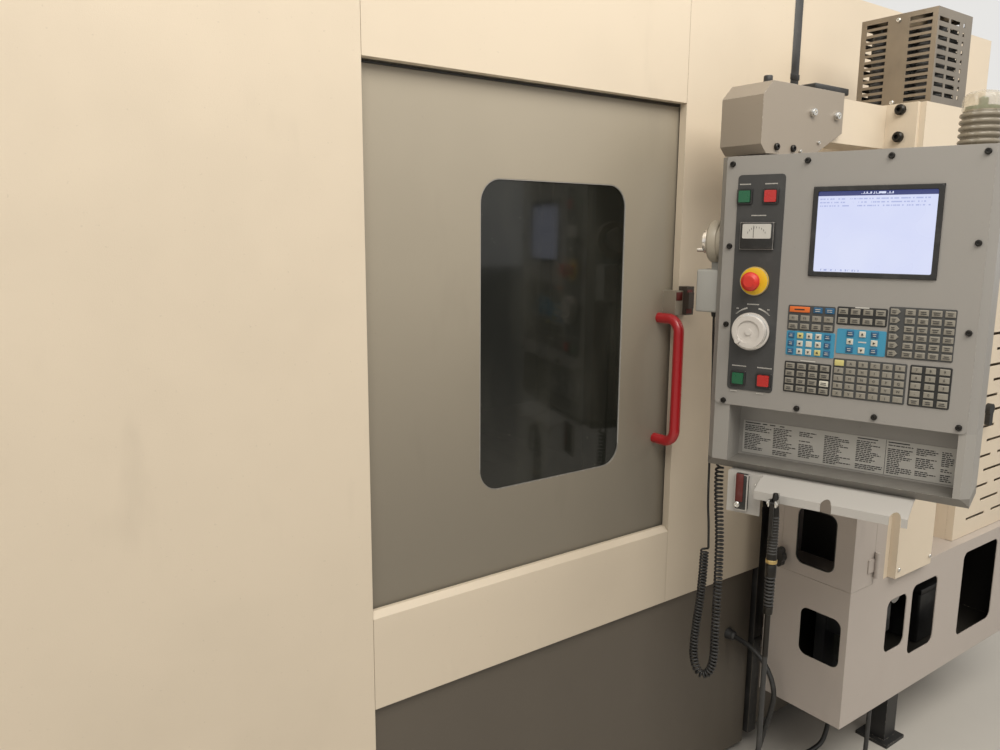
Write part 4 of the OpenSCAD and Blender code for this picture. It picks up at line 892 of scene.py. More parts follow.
def key_tree():
    """A field of sloped key caps over a grid of columns and rows."""
    tree = Tree(
        "key_field", Columns="Int", Rows="Int", Column_Pitch="Float", Row_Pitch="Float", Cap="Vector",
        Slope="Float", Finish="Material"
    )
    columns, rows = tree.given["Columns"], tree.given["Rows"]
    wide, high = (
        tree.sum("MULTIPLY", tree.sum("SUBTRACT", count, 1.0), pitch)
        for count, pitch in ((columns, tree.given["Column Pitch"]), (rows, tree.given["Row Pitch"]))
    )
    sockets = {"Size X": wide, "Size Y": high, "Vertices X": columns, "Vertices Y": rows}
    grid = tree.step("GeometryNodeMeshGrid", sockets)["Mesh"]
    cube = tree.step("GeometryNodeMeshCube", {"Size": tree.given["Cap"]})["Mesh"]
    raised, top = tree.push(cube, tree.tops(), 0.0007)
    return tree.close(grid, tree.narrow(raised, top, tree.given["Slope"]))


def ring_tree():
    """Round rings in a row along Z, such as the ribs of a hose relief."""
    tree = Tree(
        "rib_row", Count="Int", Pitch="Float", Ring_Radius="Float", Rib_Radius="Float", Taper="Float",
        Finish="Material"
    )
    ring, rib = (
        tree.step("GeometryNodeCurvePrimitiveCircle", {"Resolution": points, "Radius": tree.given[radius]})[0]
        for points, radius in ((28, "Ring Radius"), (8, "Rib Radius"))
    )
    mesh = tree.step("GeometryNodeCurveToMesh", {"Curve": ring, "Profile Curve": rib})[0]
    gap = tree.step("ShaderNodeCombineXYZ", {2: tree.given["Pitch"]})[0]
    line = tree.step("GeometryNodeMeshLine", {"Count": tree.given["Count"], "Offset": gap})[0]
    index = tree.step("GeometryNodeInputIndex", {})[0]
    shrink = tree.sum("MULTIPLY", index, tree.given["Taper"])
    return tree.close(line, mesh, Scale=tree.sum("SUBTRACT", 1.0, shrink))


trees = {"screws": screw_tree(), "keys": key_tree(), "ribs": ring_tree()}


def grow(name, tree, values, body, place, points=((0, 0, 0),)):
    """Runs a geometry tree on a few points and keeps the plain mesh."""
    seed = bpy.data.meshes.new(name + "_points")
    seed.from_pydata([tuple(p) for p in points], [], [])
    holder = add_object(name, seed)
    modifier = holder.modifiers.new("grow", "NODES")
    modifier.node_group = trees[tree]
    for item in trees[tree].interface.items_tree:
        if item.in_out == "INPUT" and item.name in values:
            modifier[item.identifier] = values[item.name]
    return finish_mesh(baked(holder), name, None, body, place, 30)


def screws(name, points, diameter, height, finish, body, place, dome=0.35):
    """One piece of equal screw heads, whose dome is a share of their height."""
    values = {"Head Diameter": diameter, "Head Height": height, "Dome": dome, "Finish": mat[finish]}
    return grow(name, "screws", values, body, place, points)


# Front, sides and roof of the machine


def door_trim():
    """The bead round the window and the handle's screws."""
    centre = (1.250, 1.304)
    bead = [
        round_outline(0.4045, 0.6545, 0.050, centre, 12),
        round_outline(0.4000, 0.6500, 0.048, centre, 12),
    ]
    # The bead takes the tray's finish, whose painted shade darkens its lowest part
    plate("window_bead", bead, 0.0030, "tray", "sliding_door", facing_front(DOOR_Y + 0.0032), 0.0005)
    ends = [(1.576, z, 0) for z in (1.023, 1.323)]
    screws("handle_screws", ends, 0.010, 0.004, "bolt", "sliding_door", facing_front(DOOR_Y + 0.031))


def front_trim():
    """The wipers of the door opening, the duct on the seam and the interlock's plates."""
    wipers = [
        ((0.7835, -0.1005, 0.795), (0.7865, -0.0955, 1.820), 0.0006),
        ((0.784, -0.1005, 1.8165), (1.611, -0.0955, 1.8205), 0.0006),
    ]
    blocks("door_wiper", wipers, "black", "machine")
    duct = [((2.0022, -0.1206, 0.0595), (2.0394, -0.0984, 2.4005), 0.003)]
    duct += [
        ((2.0020, -0.1222, z), (2.0396, -0.0984, z + 0.014), 0.001)
        for z in (0.35, 0.75, 1.15, 1.55, 1.92, 2.28)
    ]
    blocks("wall_duct", duct, "black", "machine")
    for name, low, high, body in (
        ("lock_tag", (1.6155, -0.1462, 1.372), (1.634, -0.1448, 1.392), "machine"),
        ("tongue_tag", (1.5895, -0.1362, 1.366), (1.611, -0.1348, 1.386), "sliding_door"),
        ("lock_body", (1.6155, -0.1462, 1.335), (1.634, -0.1448, 1.358), "machine"),
    ):
        blocks(name, [(low, high)], "lock_red", body)


def shell_seams():
    """Butted edges and fixing screws of the sheets on the side, the back and the roof."""
    low, high, front, rear = 0.10, SHELL_TOP - 0.020, 0.02, SHELL_BACK - 0.020
    sunk, proud, gap = 0.0004, 0.0009, 0.003
    gaps = [
        ((SHELL_LEFT - proud, y, low), (SHELL_LEFT + sunk, y + gap, high), 0) for y in (0.86, 1.72)
    ]
    middle = 0.96
    gaps.append(((middle, SHELL_BACK - sunk, low), (middle + gap, SHELL_BACK + proud, high), 0))
    gaps.append(((middle, front, SHELL_TOP - sunk), (middle + gap, rear, SHELL_TOP + proud), 0))
    blocks("sheet_seams", gaps, "lock_dark", "machine")
    heights = (0.20, 0.62, 1.04, 1.46, 1.88, 2.30)
    back = shift(0, SHELL_BACK, 0) @ Matrix.Scale(-1, 4, (0, 1, 0)) @ UPRIGHT
    for name, columns, place in (
        ("left_screws", (0.03, 0.83, 0.89, 1.69, 1.75, 2.53), facing_left(SHELL_LEFT)),
        ("back_screws", (-0.07, 0.93, 0.99, 1.95), back),
    ):
        points = [(c, z, 0.0) for c in columns for z in heights]
        screws(name, points, 0.012, 0.0035, "bolt", "machine", place, 0.6)


# Arm and cover


def arm_trim():
    """The swivel cover's screws, rivets, plug and cable clamp, and the arm's bolts."""
    for name, points, diameter, height, finish, dome in (
        ("cover_domes", [(1.750, 1.788, 0.002), (1.842, 1.788, 0.002)], 0.019, 0.006, "bolt", 0.7),
        ("cover_screws", [(1.629, 1.707, 0.002), (1.687, 1.707, 0.002)], 0.015, 0.005, "black_steel", 0.35),
        ("cover_rivets", [(1.714, 1.703, 0.001), (1.780, 1.726, 0.001)], 0.008, 0.003, "bolt", 0.6),
    ):
        screws(name, points, diameter, height, finish, "machine", facing_front(COVER_Y), dome)
    plug = [
        (0.0, -0.004), (0.011, -0.004), (0.012, 0.0), (0.0095, 0.003), (0.0095, 0.012), (0.0085, 0.014),
        (0.0, 0.014),
    ]
    turned("cover_plug", plug, "black", "machine", shift(1.622, -0.334, 1.840), 24)
    clamp = [
        ((1.778, -0.345, 1.8402), (1.910, -0.292, 1.856), 0.003, 3),
        ((1.8712, -0.338, 1.8322), (1.904, -0.300, 1.846), 0.001),
    ]
    blocks("cable_clamp", clamp, "black", "machine")
    bolts = [(y, z, 0.003) for y in (-0.383, -0.229) for z in (1.757, 1.820)]
    screws("arm_bolts", bolts, 0.025, 0.012, "black_steel", "machine", facing_left(ARM_END_X))


# Pendant


def head_plate(name, outlines, thick, finish, edge, out=0.0):
    """A flat plate on the pendant's face."""
    return plate(name, outlines, thick, finish, "pendant_body", on_face(0, 0, out), edge)


def head_blocks(name, boxes, finish):
    """Boxes in the pendant's own frame."""
    return blocks(name, boxes, finish, "pendant_body", PENDANT)


def beacon_stack():
    """Ribbed base, lamp and clear dome of the beacon."""
    place = PENDANT @ shift(0.421, -0.062, 1.684)
    ribs = [(0.0, 0.0), (0.035, 0.0)]
    for k in range(5):
        z = 0.003 + k * 0.0118
        ribs += [(0.0325, z), (0.0365, z + 0.003), (0.0370, z + 0.0052), (0.0360, z + 0.0080)]
        ribs.append((0.032, z + 0.0100))
    ribs += [(0.031, 0.064), (0.0, 0.064)]
    dome = [
        (0.0, 0.062), (0.0330, 0.062), (0.0345, 0.066), (0.0345, 0.082), (0.0315, 0.091), (0.023, 0.097),
        (0.010, 0.0995), (0.0, 0.100),
    ]
    lamp = [
        (0.0, 0.0645), (0.029, 0.0645), (0.029, 0.071), (0.008, 0.072), (0.008, 0.086), (0.004, 0.089),
        (0.0, 0.089),
    ]
    base = turned("beacon_ribs", ribs, "beacon", "pendant_body", place, 40)
    turned("beacon_dome", dome, "dome", "pendant_body", place, 40)
    turned("beacon_lamp", lamp, "green_lens", "pendant_body", place, 20)
    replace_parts(base, "beacon")


def switch_field():
    """The dark plate of the switches and a square collar round each push button."""
    holes = [mm(x, z) for x, z in ((9, 1601), (63, 1601), (17, 1216), (72, 1216))]
    outlines = [round_outline(0.0984, 0.4544, 0.008, (0.042, 1.418))]
    outlines += [round_outline(0.0250, 0.0250, 0.0015, hole, 3) for hole in holes]
    outlines += [disc_outline(0.030, STOP), disc_outline(0.030, DIAL)]
    head_plate("switch_plate", outlines, 0.0016, "charcoal", 0.0003)
    for k, hole in enumerate(holes):
        sizes = ((0.0325, 0.003), (0.0248, 0.002))
        collar = [round_outline(side, side, radius, hole, 4) for side, radius in sizes]
        head_plate(f"button_collar_{k + 1}", collar, 0.0056, "black", 0.0008)


def stop_collar():
    """The yellow ring under the emergency stop, open in the middle."""
    sides = 48
    ring = [(0.0112, 0.001), (0.030, 0.001), (0.0305, 0.003), (0.0298, 0.0065), (0.0275, 0.0078)]
    form = bmesh.new()
    add_turned(form, [*ring, (0.0112, 0.0078)], Matrix.Identity(4), sides)
    for face in [f for f in form.faces if len(f.verts) > 4]:
        form.faces.remove(face)
    inner = sorted(
        (v for v in form.verts if v.co.xy.length < 0.0113), key=lambda v: math.atan2(v.co.y, v.co.x)
    )
    low = [v for v in inner if v.co.z < 0.004]
    high = [v for v in inner if v.co.z > 0.004]
    for k in range(sides):
        n = (k + 1) % sides
        form.faces.new((high[k], high[n], low[n], low[k]))
    bmesh.ops.recalc_face_normals(form, faces=form.faces[:])
    finish_form(form, "stop_collar", "yellow", "pendant_body", on_face(*STOP))


def load_meter():
    """The load meter's case, dial, scale and needle."""
    case = ((0.0045, FACE - 0.0088, 1.4915), (0.0755, FACE, 1.5485), 0.003, 3)
    head_blocks("meter_case", [case], "black")
    dial = [round_outline(0.060, 0.030, 0.003, (0.040, 1.5295), 4)]
    head_plate("meter_dial", dial, 0.0010, "paper", 0.0002, 0.0085)
    lines = []
    for k in range(9):
        a = math.radians(60 - 15 * k)
        x, z = 0.040 + 0.021 * math.sin(-a), 1.5165 + 0.021 * math.cos(a)
        lines.append(((x - 0.0004, FACE - 0.0099, z - 0.0020), (x + 0.0004, FACE - 0.0094, z + 0.0020), 0))
    lines.append(((0.0335, FACE - 0.0100, 1.516), (0.0343, FACE - 0.0095, 1.541), 0))
    head_blocks("meter_marks", lines, "black")


def switch_marks():
    """Dashes for the words at the switches, and the dial's two growing scales."""
    back, front, letter = FACE - 0.0015, FACE - 0.0019, 2.6
    words = [(9, 1626, 24), (63, 1626, 26), (17, 1243, 30), (72, 1243, 30), (40, 1377, 26), (40, 1562, 30)]
    words += [(7, 1367, 5), (73, 1367, 5), (9, 1187, 16), (66, 1187, 16)]
    dashes = []
    for x, z, wide in words:
        for k in range(max(1, round(wide / letter))):
            left = x - wide / 2 + k * letter
            low, high = mm(left, z - 1.1), mm(left + 1.9, z + 1.1)
            dashes.append(((low[0], front, low[1]), (high[0], back, high[1]), 0))
    for sign in (-1, 1):
        for k in range(8):
            a = math.radians(sign * (16 + 4 * k))
            x, z = DIAL[0] + 0.050 * math.sin(a), DIAL[1] + 0.050 * math.cos(a)
            half = 0.0004 + 0.00016 * (7 - k)
            dashes.append(((x - 0.0019, front, z - half), (x + 0.0019, back, z + half), 0))
    head_blocks("switch_marks", dashes, "legend")


def face_screws():
    """The dark screws round the pendant's face."""
    spots = [(-21, 1668), (132, 1669), (285, 1671), (442, 1671), (-19, 1498), (-17, 1331)]
    spots += [(-14, 1163), (144, 1165), (294, 1167), (442, 1510), (442, 1346), (442, 1167)]
    points = [(*mm(x, z), 0.0012) for x, z in spots]
    screws("face_screws", points, 0.0120, 0.0040, "black_steel", "pendant_body", on_face(0, 0), 0.6)


def screen_trim():
    """The lit glass and the frame round it."""
    glass = [round_outline(0.2155, 0.1595, 0.002, SCREEN, 4)]
    head_plate("screen_glass", glass, 0.0012, "lit", 0.0002, -0.0008)
    rim = [round_outline(0.2324, 0.1764, 0.006, SCREEN, 5), round_outline(0.2130, 0.1570, 0.003, SCREEN, 5)]
    head_plate("screen_frame", rim, 0.0042, "black", 0.0012)


# Keypad, in millimetres of the pendant's frame

KEY_FIELDS = [
    # left, bottom, columns, rows, column pitch, row pitch, pad finish
    (117, 1332, 4, 3, 23, 17, "grey_pad"),
    (117, 1280, 5, 3, 18, 16.5, "blue_pad"),
    (117, 1202, 4, 4, 23, 15.7, "black"),
    (213, 1350, 4, 2, 23, 18, "black"),
    (216, 1292, 4, 3, 22.4, 16, "blue_pad"),
    (213, 1202, 6, 5, 22.4, 15.5, "grey_pad"),
    (308, 1292, 5, 6, 23, 16.2, "grey_pad"),
    (354, 1202, 3, 5, 24, 15.5, "black"),
]
# Width and height of a common cap
CAP_W, CAP_H = 17.5, 11.5
CAP_GRIDS = [
    # middle of the first cap in X and Z, columns, rows, column pitch, row pitch, width, finish
    (125.5, 1337.5, 4, 2, 23, 17, CAP_W, "grey_key"),
    (173, 1372, 2, 1, 23, 17, CAP_W, "blue_key"),
    (123.5, 1285.5, 2, 3, 72, 16.5, 12.0, "blue_key"),
    (141.5, 1285.5, 3, 3, 18, 16.5, 11.5, "pale_key"),
    (125.5, 1207.5, 4, 4, 23, 15.7, CAP_W, "grey_key"),
    (221.5, 1355.5, 4, 2, 23, 18, CAP_W, "grey_key"),
    (238, 1298, 2, 2, 45, 32, 13.0, "blue_key"),
    (260.5, 1298, 1, 2, 20, 32, 12.0, "pale_key"),
    (238, 1314, 2, 1, 45, 16, 12.0, "pale_key"),
    (221.5, 1207.5, 6, 5, 22.4, 15.5, CAP_W, "grey_key"),
    (342.5, 1297.5, 4, 6, 22.5, 16.2, CAP_W, "grey_key"),
    (362.5, 1207.5, 3, 5, 24, 15.5, CAP_W, "grey_key"),
]


def keypad_fields():
    """Coloured pads with sloped caps and plain legends."""
    for n, (x, z, columns, rows, px, pz, pad) in enumerate(KEY_FIELDS):
        wide = (columns - 1) * px + 17
        high = (rows - 1) * pz + 11
        outline = round_outline(*mm(wide + 7, high + 7), 0.003, mm(x + wide / 2, z + high / 2), 5)
        piece = head_plate(f"key_pad_{n + 1}", [outline], 0.0013, pad, 0.0004)
        if n == 0:
            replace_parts(piece, "keypad")
    for n, (x, z, columns, rows, px, pz, wide, finish) in enumerate(CAP_GRIDS):
        values = {
            "Columns": columns,
            "Rows": rows,
            "Column Pitch": px / 1000,
            "Row Pitch": pz / 1000,
            "Cap": (*mm(wide, CAP_H), 0.0020),
            "Slope": 0.80,
            "Finish": mat[finish],
        }
        middle = mm(x + (columns - 1) * px / 2, z + (rows - 1) * pz / 2)
        grow(f"key_caps_{n + 1}", "keys", values, "pendant_body", on_face(*middle, 0.0022))
    for title, x, z, wide, finish in (
        ("orange", 137.0, 1372, 40, "orange_key"),
        ("white", 194.5, 1223.2, CAP_W, "pale_key"),
        ("yellow_a", 141.5, 1318.5, 12.0, "yellow_key"),
        ("yellow_b", 177.5, 1285.5, 12.0, "yellow_key"),
        ("yellow_c", 221.5, 1269.5, CAP_W, "yellow_key"),
    ):
        low, high = mm(x - wide / 2 - 0.1, z - 5.8), mm(x + wide / 2 + 0.1, z + 5.8)
        box = ((low[0], FACE - 0.0043, low[1]), (high[0], FACE - 0.001, high[1]), 0.0012, 3)
        head_blocks(f"key_{title}", [box], finish)
    arrow = ((308, -5.7), (320, -5.7), (325.5, 0), (320, 5.7), (308, 5.7))
    arrows = [[mm(x, 1297.5 + 16.2 * k + z) for x, z in arrow] for k in range(6)]
    head_plate("key_arrows", arrows, 0.0038, "grey_key", 0.0008)
    key_letters()
    key_tips()
    key_bars()


def key_letters():
    """Plain letters and digits on the caps."""
    letter_size, row_pitch = 7.0, 15.5
    marks = []
    for rows, x, z, pitch in (
        ((" ABCDE", "FGHIJK", "LMNOPQ", "RSTUVW", "XYZ();"), 221.5, 1207.5, 22.4),
        (("789", "456", "123", "-0."), 362.5, 1207.5, 24),
    ):
        for r, row in enumerate(rows):
            for c, letter in enumerate(row):
                marks.append((letter, x + c * pitch, z + (4 - r) * row_pitch, letter_size))
    marks += [(f"F{c + 1}", 125.5 + c * 23, 1354.5, 6.0) for c in range(4)]
    form = bmesh.new()
    for letter, x, z, size in marks:
        if letter == " ":
            continue
        text = bpy.data.curves.new("legend", "FONT")
        text.body = letter
        text.size = size / 1000
        text.align_x = "CENTER"
        text.align_y = "CENTER"
        text.extrude = 0.00015
        text.resolution_u = 2
        mesh = baked(add_object("legend", text))
        mesh.transform(on_face(*mm(x, z), 0.0050))
        form.from_mesh(mesh)
        bpy.data.meshes.remove(mesh)
    finish_form(form, "key_letters", "black", "pendant_body")


def key_tips():
    """Arrow tips on the jog keys."""
    form = bmesh.new()
    points = [(159.5 + 18 * c, 1302 + 16.5 * r, c, r) for c in (-1, 0, 1) for r in (-1, 0, 1) if c or r]
    points += [(260.5, 1330, 0, 1), (260.5, 1298, 0, -1), (238, 1314, -1, 0), (283, 1314, 1, 0)]
    for x, z, c, r in points:
        turn = Matrix.Rotation(math.atan2(r, c), 3, "Z")
        ends = [turn @ Vector(p) for p in ((3.0, 0, 0), (-2.0, 2.6, 0), (-2.0, -2.6, 0))]
        for level in (0.0050, 0.0053):
            ring = [form.verts.new(on_face(*mm(x + e.x, z + e.y), level).translation) for e in ends]
            form.faces.new(ring if level > 0.0051 else list(reversed(ring)))
    finish_form(form, "key_arrow_marks", "black", "pendant_body")


def key_bars():
    """Two dashes of drawn length on each plain cap, and one for each field's name."""
    bars = {"black": [], "legend": []}
    draw = random.Random(8)
    fields = [grid for k, grid in enumerate(CAP_GRIDS) if k in (0, 1, 2, 4, 5, 6, 10)]
    fields.append((314.5, 1297.5, 1, 6, 20, 16.2, 12, "grey_key"))
    fields.append((362.5, 1207.5, 3, 1, 24, 15.5, CAP_W, "grey_key"))
    for x, z, columns, rows, px, pz, wide, finish in fields:
        for c in range(columns):
            for r in range(rows):
                if (x, z, r) == (125.5, 1337.5, 1):
                    continue
                for line in range(2):
                    half = draw.uniform(0.22, 0.34) * wide
                    cx, cz = x + c * px, z + r * pz + 1.8 - 3.6 * line
                    low, high = mm(cx - half, cz - 0.6), mm(cx + half, cz + 0.6)
                    box = ((low[0], FACE - 0.0052, low[1]), (high[0], FACE - 0.0048, high[1]), 0)
                    bars["legend" if finish == "blue_key" else "black"].append(box)
    for x, z, wide in ((256, 1382.0, 26), (160, 1266.5, 30), (261, 1314, 15)):
        low, high = mm(x - wide / 2, z - 1.2), mm(x + wide / 2, z + 1.2)
        bars["legend"].append(((low[0], FACE - 0.0017, low[1]), (high[0], FACE - 0.0013, high[1]), 0))
    bars["black"].append(((0.127, FACE - 0.0046, 1.3707), (0.147, FACE - 0.0042, 1.3733), 0))
    for finish, boxes in bars.items():
        head_blocks(f"key_bars_{finish}", boxes, finish)


def dial_label():
    """The jog dial's bright skirt and the printed disc in its recess."""
    place = on_face(*DIAL)
    skirt = [(0.0335, 0.0006), (0.0402, 0.0006), (0.0405, 0.0090), (0.0385, 0.0126)]
    skirt += [(0.0350, 0.0134), (0.0335, 0.0134)]
    disc = [(0.0, 0.0206), (0.0232, 0.0206), (0.0236, 0.0214), (0.0, 0.0214)]
    turned("dial_skirt", skirt, "bolt", "jog_body", place, 56)
    turned("dial_disc", disc, "remote_box", "jog_body", place, 40)
    starts = [-0.016 + k * 0.0052 for k in range(6)]
    ends = [-0.0125 + k * 0.0052 for k in range(6)]
    words = [((a, -0.0012, 0.0212), (b, 0.0012, 0.0217), 0) for a, b in zip(starts, ends)]
    aslant = place @ Matrix.Rotation(math.radians(-35), 4, "Z")
    blocks("dial_words", words, "lock_red", "jog_body", aslant)


def tray_trim():
    """The printed card at the back of the tray, and the spanner in its channel."""
    head_blocks("tray_card", [((0.0085, -0.0392, 1.033), (0.4405, -0.0382, 1.108), 0.0004)], "paper")
    back, front = -0.0391, -0.0396
    rules = []
    draw = random.Random(3)
    columns = [12, 76, 132, 185, 250, 311, 364, 410, 438]
    for left, right in zip(columns, columns[1:]):
        for k in range(16):
            z = 1097.0 - k * 3.9
            if draw.random() < 0.10 and k:
                continue
            x = left + 1
            stop = left + (right - left - 4) * draw.uniform(0.45, 1.0)
            while x < stop:
                wide = draw.uniform(3.0, 9.0)
                low, high = mm(x, z - 1.0), mm(min(x + wide, stop), z + 1.0)
                rules.append(((low[0], front, low[1]), (high[0], back, high[1]), 0))
                x += wide + 1.4
    for left, wide in ((13, 34), (52, 10), (68, 12), (90, 10), (252, 40), (312, 40)):
        rules.append(((left / 1000, front, 1.1020), ((left + wide) / 1000, back, 1.1042), 0))
    rules.append(((0.3075, front, 1.034), (0.3083, back, 1.107), 0))
    head_blocks("tray_print", rules, "black")
    channel = ((0.0262, FACE - 0.0142, 0.9232), (0.0568, FACE - 0.0035, 1.0076), 0.006, 4)
    grip = ((0.0300, FACE - 0.0172, 0.9440), (0.0465, FACE - 0.0125, 1.0074), 0.002, 3)
    head_blocks("spanner_channel", [channel], "black")
    head_blocks("spanner_grip", [grip], "lock_red")
    for name, point, diameter, height, out, dome in (
        ("spanner_screw", (0.0345, 0.937, 0), 0.014, 0.004, 0.0155, 0.35),
        ("plate_rivets", (0.070, 0.985, 0), 0.005, 0.0016, 0.0046, 0.6),
    ):
        screws(name, [point], diameter, height, "bolt", "pendant_body", on_face(0, 0, out), dome)


def air_gun_detail():
    """Ribbed grip, brass ring and bend relief of the air gun that hangs on the bracket."""
    place = PENDANT @ shift(GUN_X, FACE - GUN_OUT, 0.966)
    body = [
        (0.0, -0.336), (0.0061, -0.336), (0.0061, -0.240), (0.0095, -0.238), (0.0100, -0.222),
        (0.0070, -0.220), (0.0080, -0.158), (0.0105, -0.152), (0.0108, -0.128), (0.0118, -0.124),
        (0.0112, -0.116), (0.0104, -0.112), (0.0098, -0.100), (0.0098, -0.060), (0.0098, -0.020),
        (0.0092, -0.010), (0.0080, 0.000), (0.0080, 0.012), (0.0062, 0.016), (0.0062, 0.024),
        (0.0045, 0.028), (0.0, 0.029),
    ]
    ring = [(0.0, -0.1242), (0.0116, -0.1242), (0.0122, -0.1230), (0.0122, -0.1170), (0.0116, -0.1158)]
    ring.append((0.0, -0.1158))
    ferrule = [(0.0, -0.1530), (0.0112, -0.1530), (0.0114, -0.1500), (0.0114, -0.1280)]
    ferrule += [(0.0108, -0.1270), (0.0, -0.1270)]
    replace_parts(turned("gun_body", body, "black_steel", "pendant_body", place, 28), "air_gun")
    turned("gun_ring", ring, "brass", "pendant_body", place, 28)
    turned("gun_ferrule", ferrule, "black_steel", "pendant_body", place, 28)
    form = bmesh.new()
    add_block(form, (-0.003, 0.000, 0.014), (0.003, 0.018, 0.024), 0.0012)
    for x in (-0.009, 0.005):
        add_block(form, (x, -0.024, 0.004), (x + 0.004, -0.002, 0.018), 0.001)
    pin = [(0.0, -0.011), (0.004, -0.011), (0.004, -0.0095), (0.002, -0.009), (0.002, 0.009)]
    pin += [(0.004, 0.0095), (0.004, 0.011), (0.0, 0.011)]
    across = Matrix.Rotation(math.radians(90), 4, "Y")
    add_turned(form, pin, shift(0, -0.020, 0.011) @ across, 16)
    finish_form(form, "gun_ears", "bolt", "pendant_body", place)
    for name, count, pitch, ring, rib, taper, z in (
        ("gun_grip_ribs", 13, 0.0066, 0.0088, 0.0020, 0.0, -0.102),
        ("gun_relief_ribs", 9, 0.0078, 0.0082, 0.0022, -0.012, -0.218),
    ):
        values = {"Count": count, "Pitch": pitch, "Ring Radius": ring, "Rib Radius": rib, "Taper": taper}
        values["Finish"] = mat["hose"]
        grow(name, "ribs", values, "pendant_body", place @ shift(0, 0, z))


def remote_detail():
    """The jog unit on the pendant's left side: its round shell, box and gland."""
    place = PENDANT @ shift(-0.049, -0.058, 1.507) @ Matrix.Rotation(math.radians(-90), 4, "Y")
    shell = [
        (0.0, 0.0), (0.0405, 0.0), (0.0410, 0.008), (0.0450, 0.009), (0.0470, 0.012), (0.0475, 0.026),
        (0.0450, 0.0298), (0.0, 0.0300),
    ]
    piece = turned("remote_shell", shell, "remote", "pendant_body", place, 48)
    boxes = [
        ((-0.099, -0.094, 1.352), (-0.049, -0.022, 1.446), 0.004, 3),
        ((-0.075, -0.070, 1.441), (-0.049, -0.046, 1.466), 0.001),
    ]
    head_blocks("remote_box", boxes, "remote_box")
    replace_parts(piece, "remote_unit")
    gland = [(0.0, -0.012), (0.005, -0.012), (0.0065, -0.004), (0.0065, 0.002), (0.0, 0.002)]
    turned("remote_gland", gland, "black", "pendant_body", PENDANT @ shift(-0.068, -0.058, 1.351), 16)


# Right-hand cabinets


def air_unit_detail():
    """Filter bowls, gauges and the oil box behind the cabinet's windows."""

    def box(low, high, *edge):
        return BAY + Vector(low), BAY + Vector(high), *edge

    def at(x, y, z):
        return Matrix.Translation(BAY + Vector((x, y, z)))

    filters = (0.190, 0.265, 0.340)
    cap = [(0.0, 0.0), (0.020, 0.0), (0.020, 0.010), (0.016, 0.014), (0.018, 0.020), (0.018, 0.034)]
    cap += [(0.015, 0.036), (0.0, 0.036)]
    form = bmesh.new()
    add_block(form, *box((0.150, 0.060, 0.0), (0.480, 0.090, 0.250), 0.002))
    for x in filters:
        add_block(form, *box((x - 0.032, -0.007, 0.160), (x + 0.032, 0.061, 0.204), 0.005, 3))
        add_turned(form, cap, at(x, 0.025, 0.204), 20)
    add_block(form, *box((0.385, 0.018, 0.100), (0.425, 0.061, 0.240), 0.004))
    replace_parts(finish_form(form, "air_blocks", "iron", "machine"), "air_unit")
    bowl = [(0.0, 0.066), (0.010, 0.068), (0.022, 0.078), (0.027, 0.095), (0.028, 0.160), (0.0, 0.160)]
    nut = [(0.0, -0.010), (0.009, -0.010), (0.009, 0.010), (0.0, 0.010)]
    across = Matrix.Rotation(math.radians(90), 4, "Y")
    turned_set("air_bowls", bowl, "bowl", [at(x, 0.025, 0.0) for x in filters], 28)
    for k, (x, y, z, r) in enumerate(((0.265, -0.007, 0.182, 0.022), (0.405, 0.018, 0.226, 0.030))):
        place = at(x, y, z) @ UPRIGHT
        case = [(0.0, -0.002), (r - 0.004, -0.002), (r, 0.004), (r, 0.016), (r - 0.002, 0.018), (0.0, 0.018)]
        dial = [(0.0, 0.0172), (r - 0.003, 0.0172), (r - 0.003, 0.0186), (0.0, 0.0186)]
        turned(f"gauge_case_{k + 1}", case, "black_steel", "machine", place, 28)
        turned(f"gauge_face_{k + 1}", dial, "paper", "machine", place, 28)
        needle = ((-0.0006, -0.003, 0.0184), (0.0006, r - 0.007, 0.0194), 0)
        aslant = place @ Matrix.Rotation(math.radians(40), 4, "Z")
        blocks(f"gauge_needle_{k + 1}", [needle], "black", "machine", aslant)
    nuts = [at(x, 0.027, 0.182) @ across for x in (0.228, 0.303, 0.372)]
    turned_set("air_fittings", nut, "brass", nuts, 6)
    tank = [
        box((0.600, 0.020, 0.0), (0.850, 0.145, 0.165), 0.008, 3),
        box((0.596, 0.016, 0.160), (0.854, 0.149, 0.180), 0.004, 2),
    ]
    blocks("oil_box", tank, "black", "machine")
    blocks("oil_card", [box((0.765, 0.0185, 0.060), (0.835, 0.0202, 0.135), 0.0004)], "paper", "machine")


def turned_set(name, profile, finish, places, steps):
    """One piece of equal lathed forms on the machine."""
    form = bmesh.new()
    for place in places:
        add_turned(form, profile, place, steps)
    bmesh.ops.recalc_face_normals(form, faces=form.faces[:])
    finish_form(form, name, finish, "machine")


def corner_trim():
    """Edging of the corner door's window and the cover panel's screws."""
    centre = (-0.334, 0.7506)
    edging = [
        round_outline(0.1115, 0.1535, 0.0235, centre, 6),
        round_outline(0.106, 0.148, 0.021, centre, 6),
    ]
    place = facing_left(CAB_X) @ shift(0, 0, -0.0038)
    plate("corner_edging", edging, 0.0048, "black", "corner_door_body", place, 0.0006)
    points = [(x, z, 0) for z in (1.000, 0.668) for x in (2.120, 2.280)]
    screws("cover_panel_screws", points, 0.011, 0.004, "bolt", "machine", facing_front(-0.460))


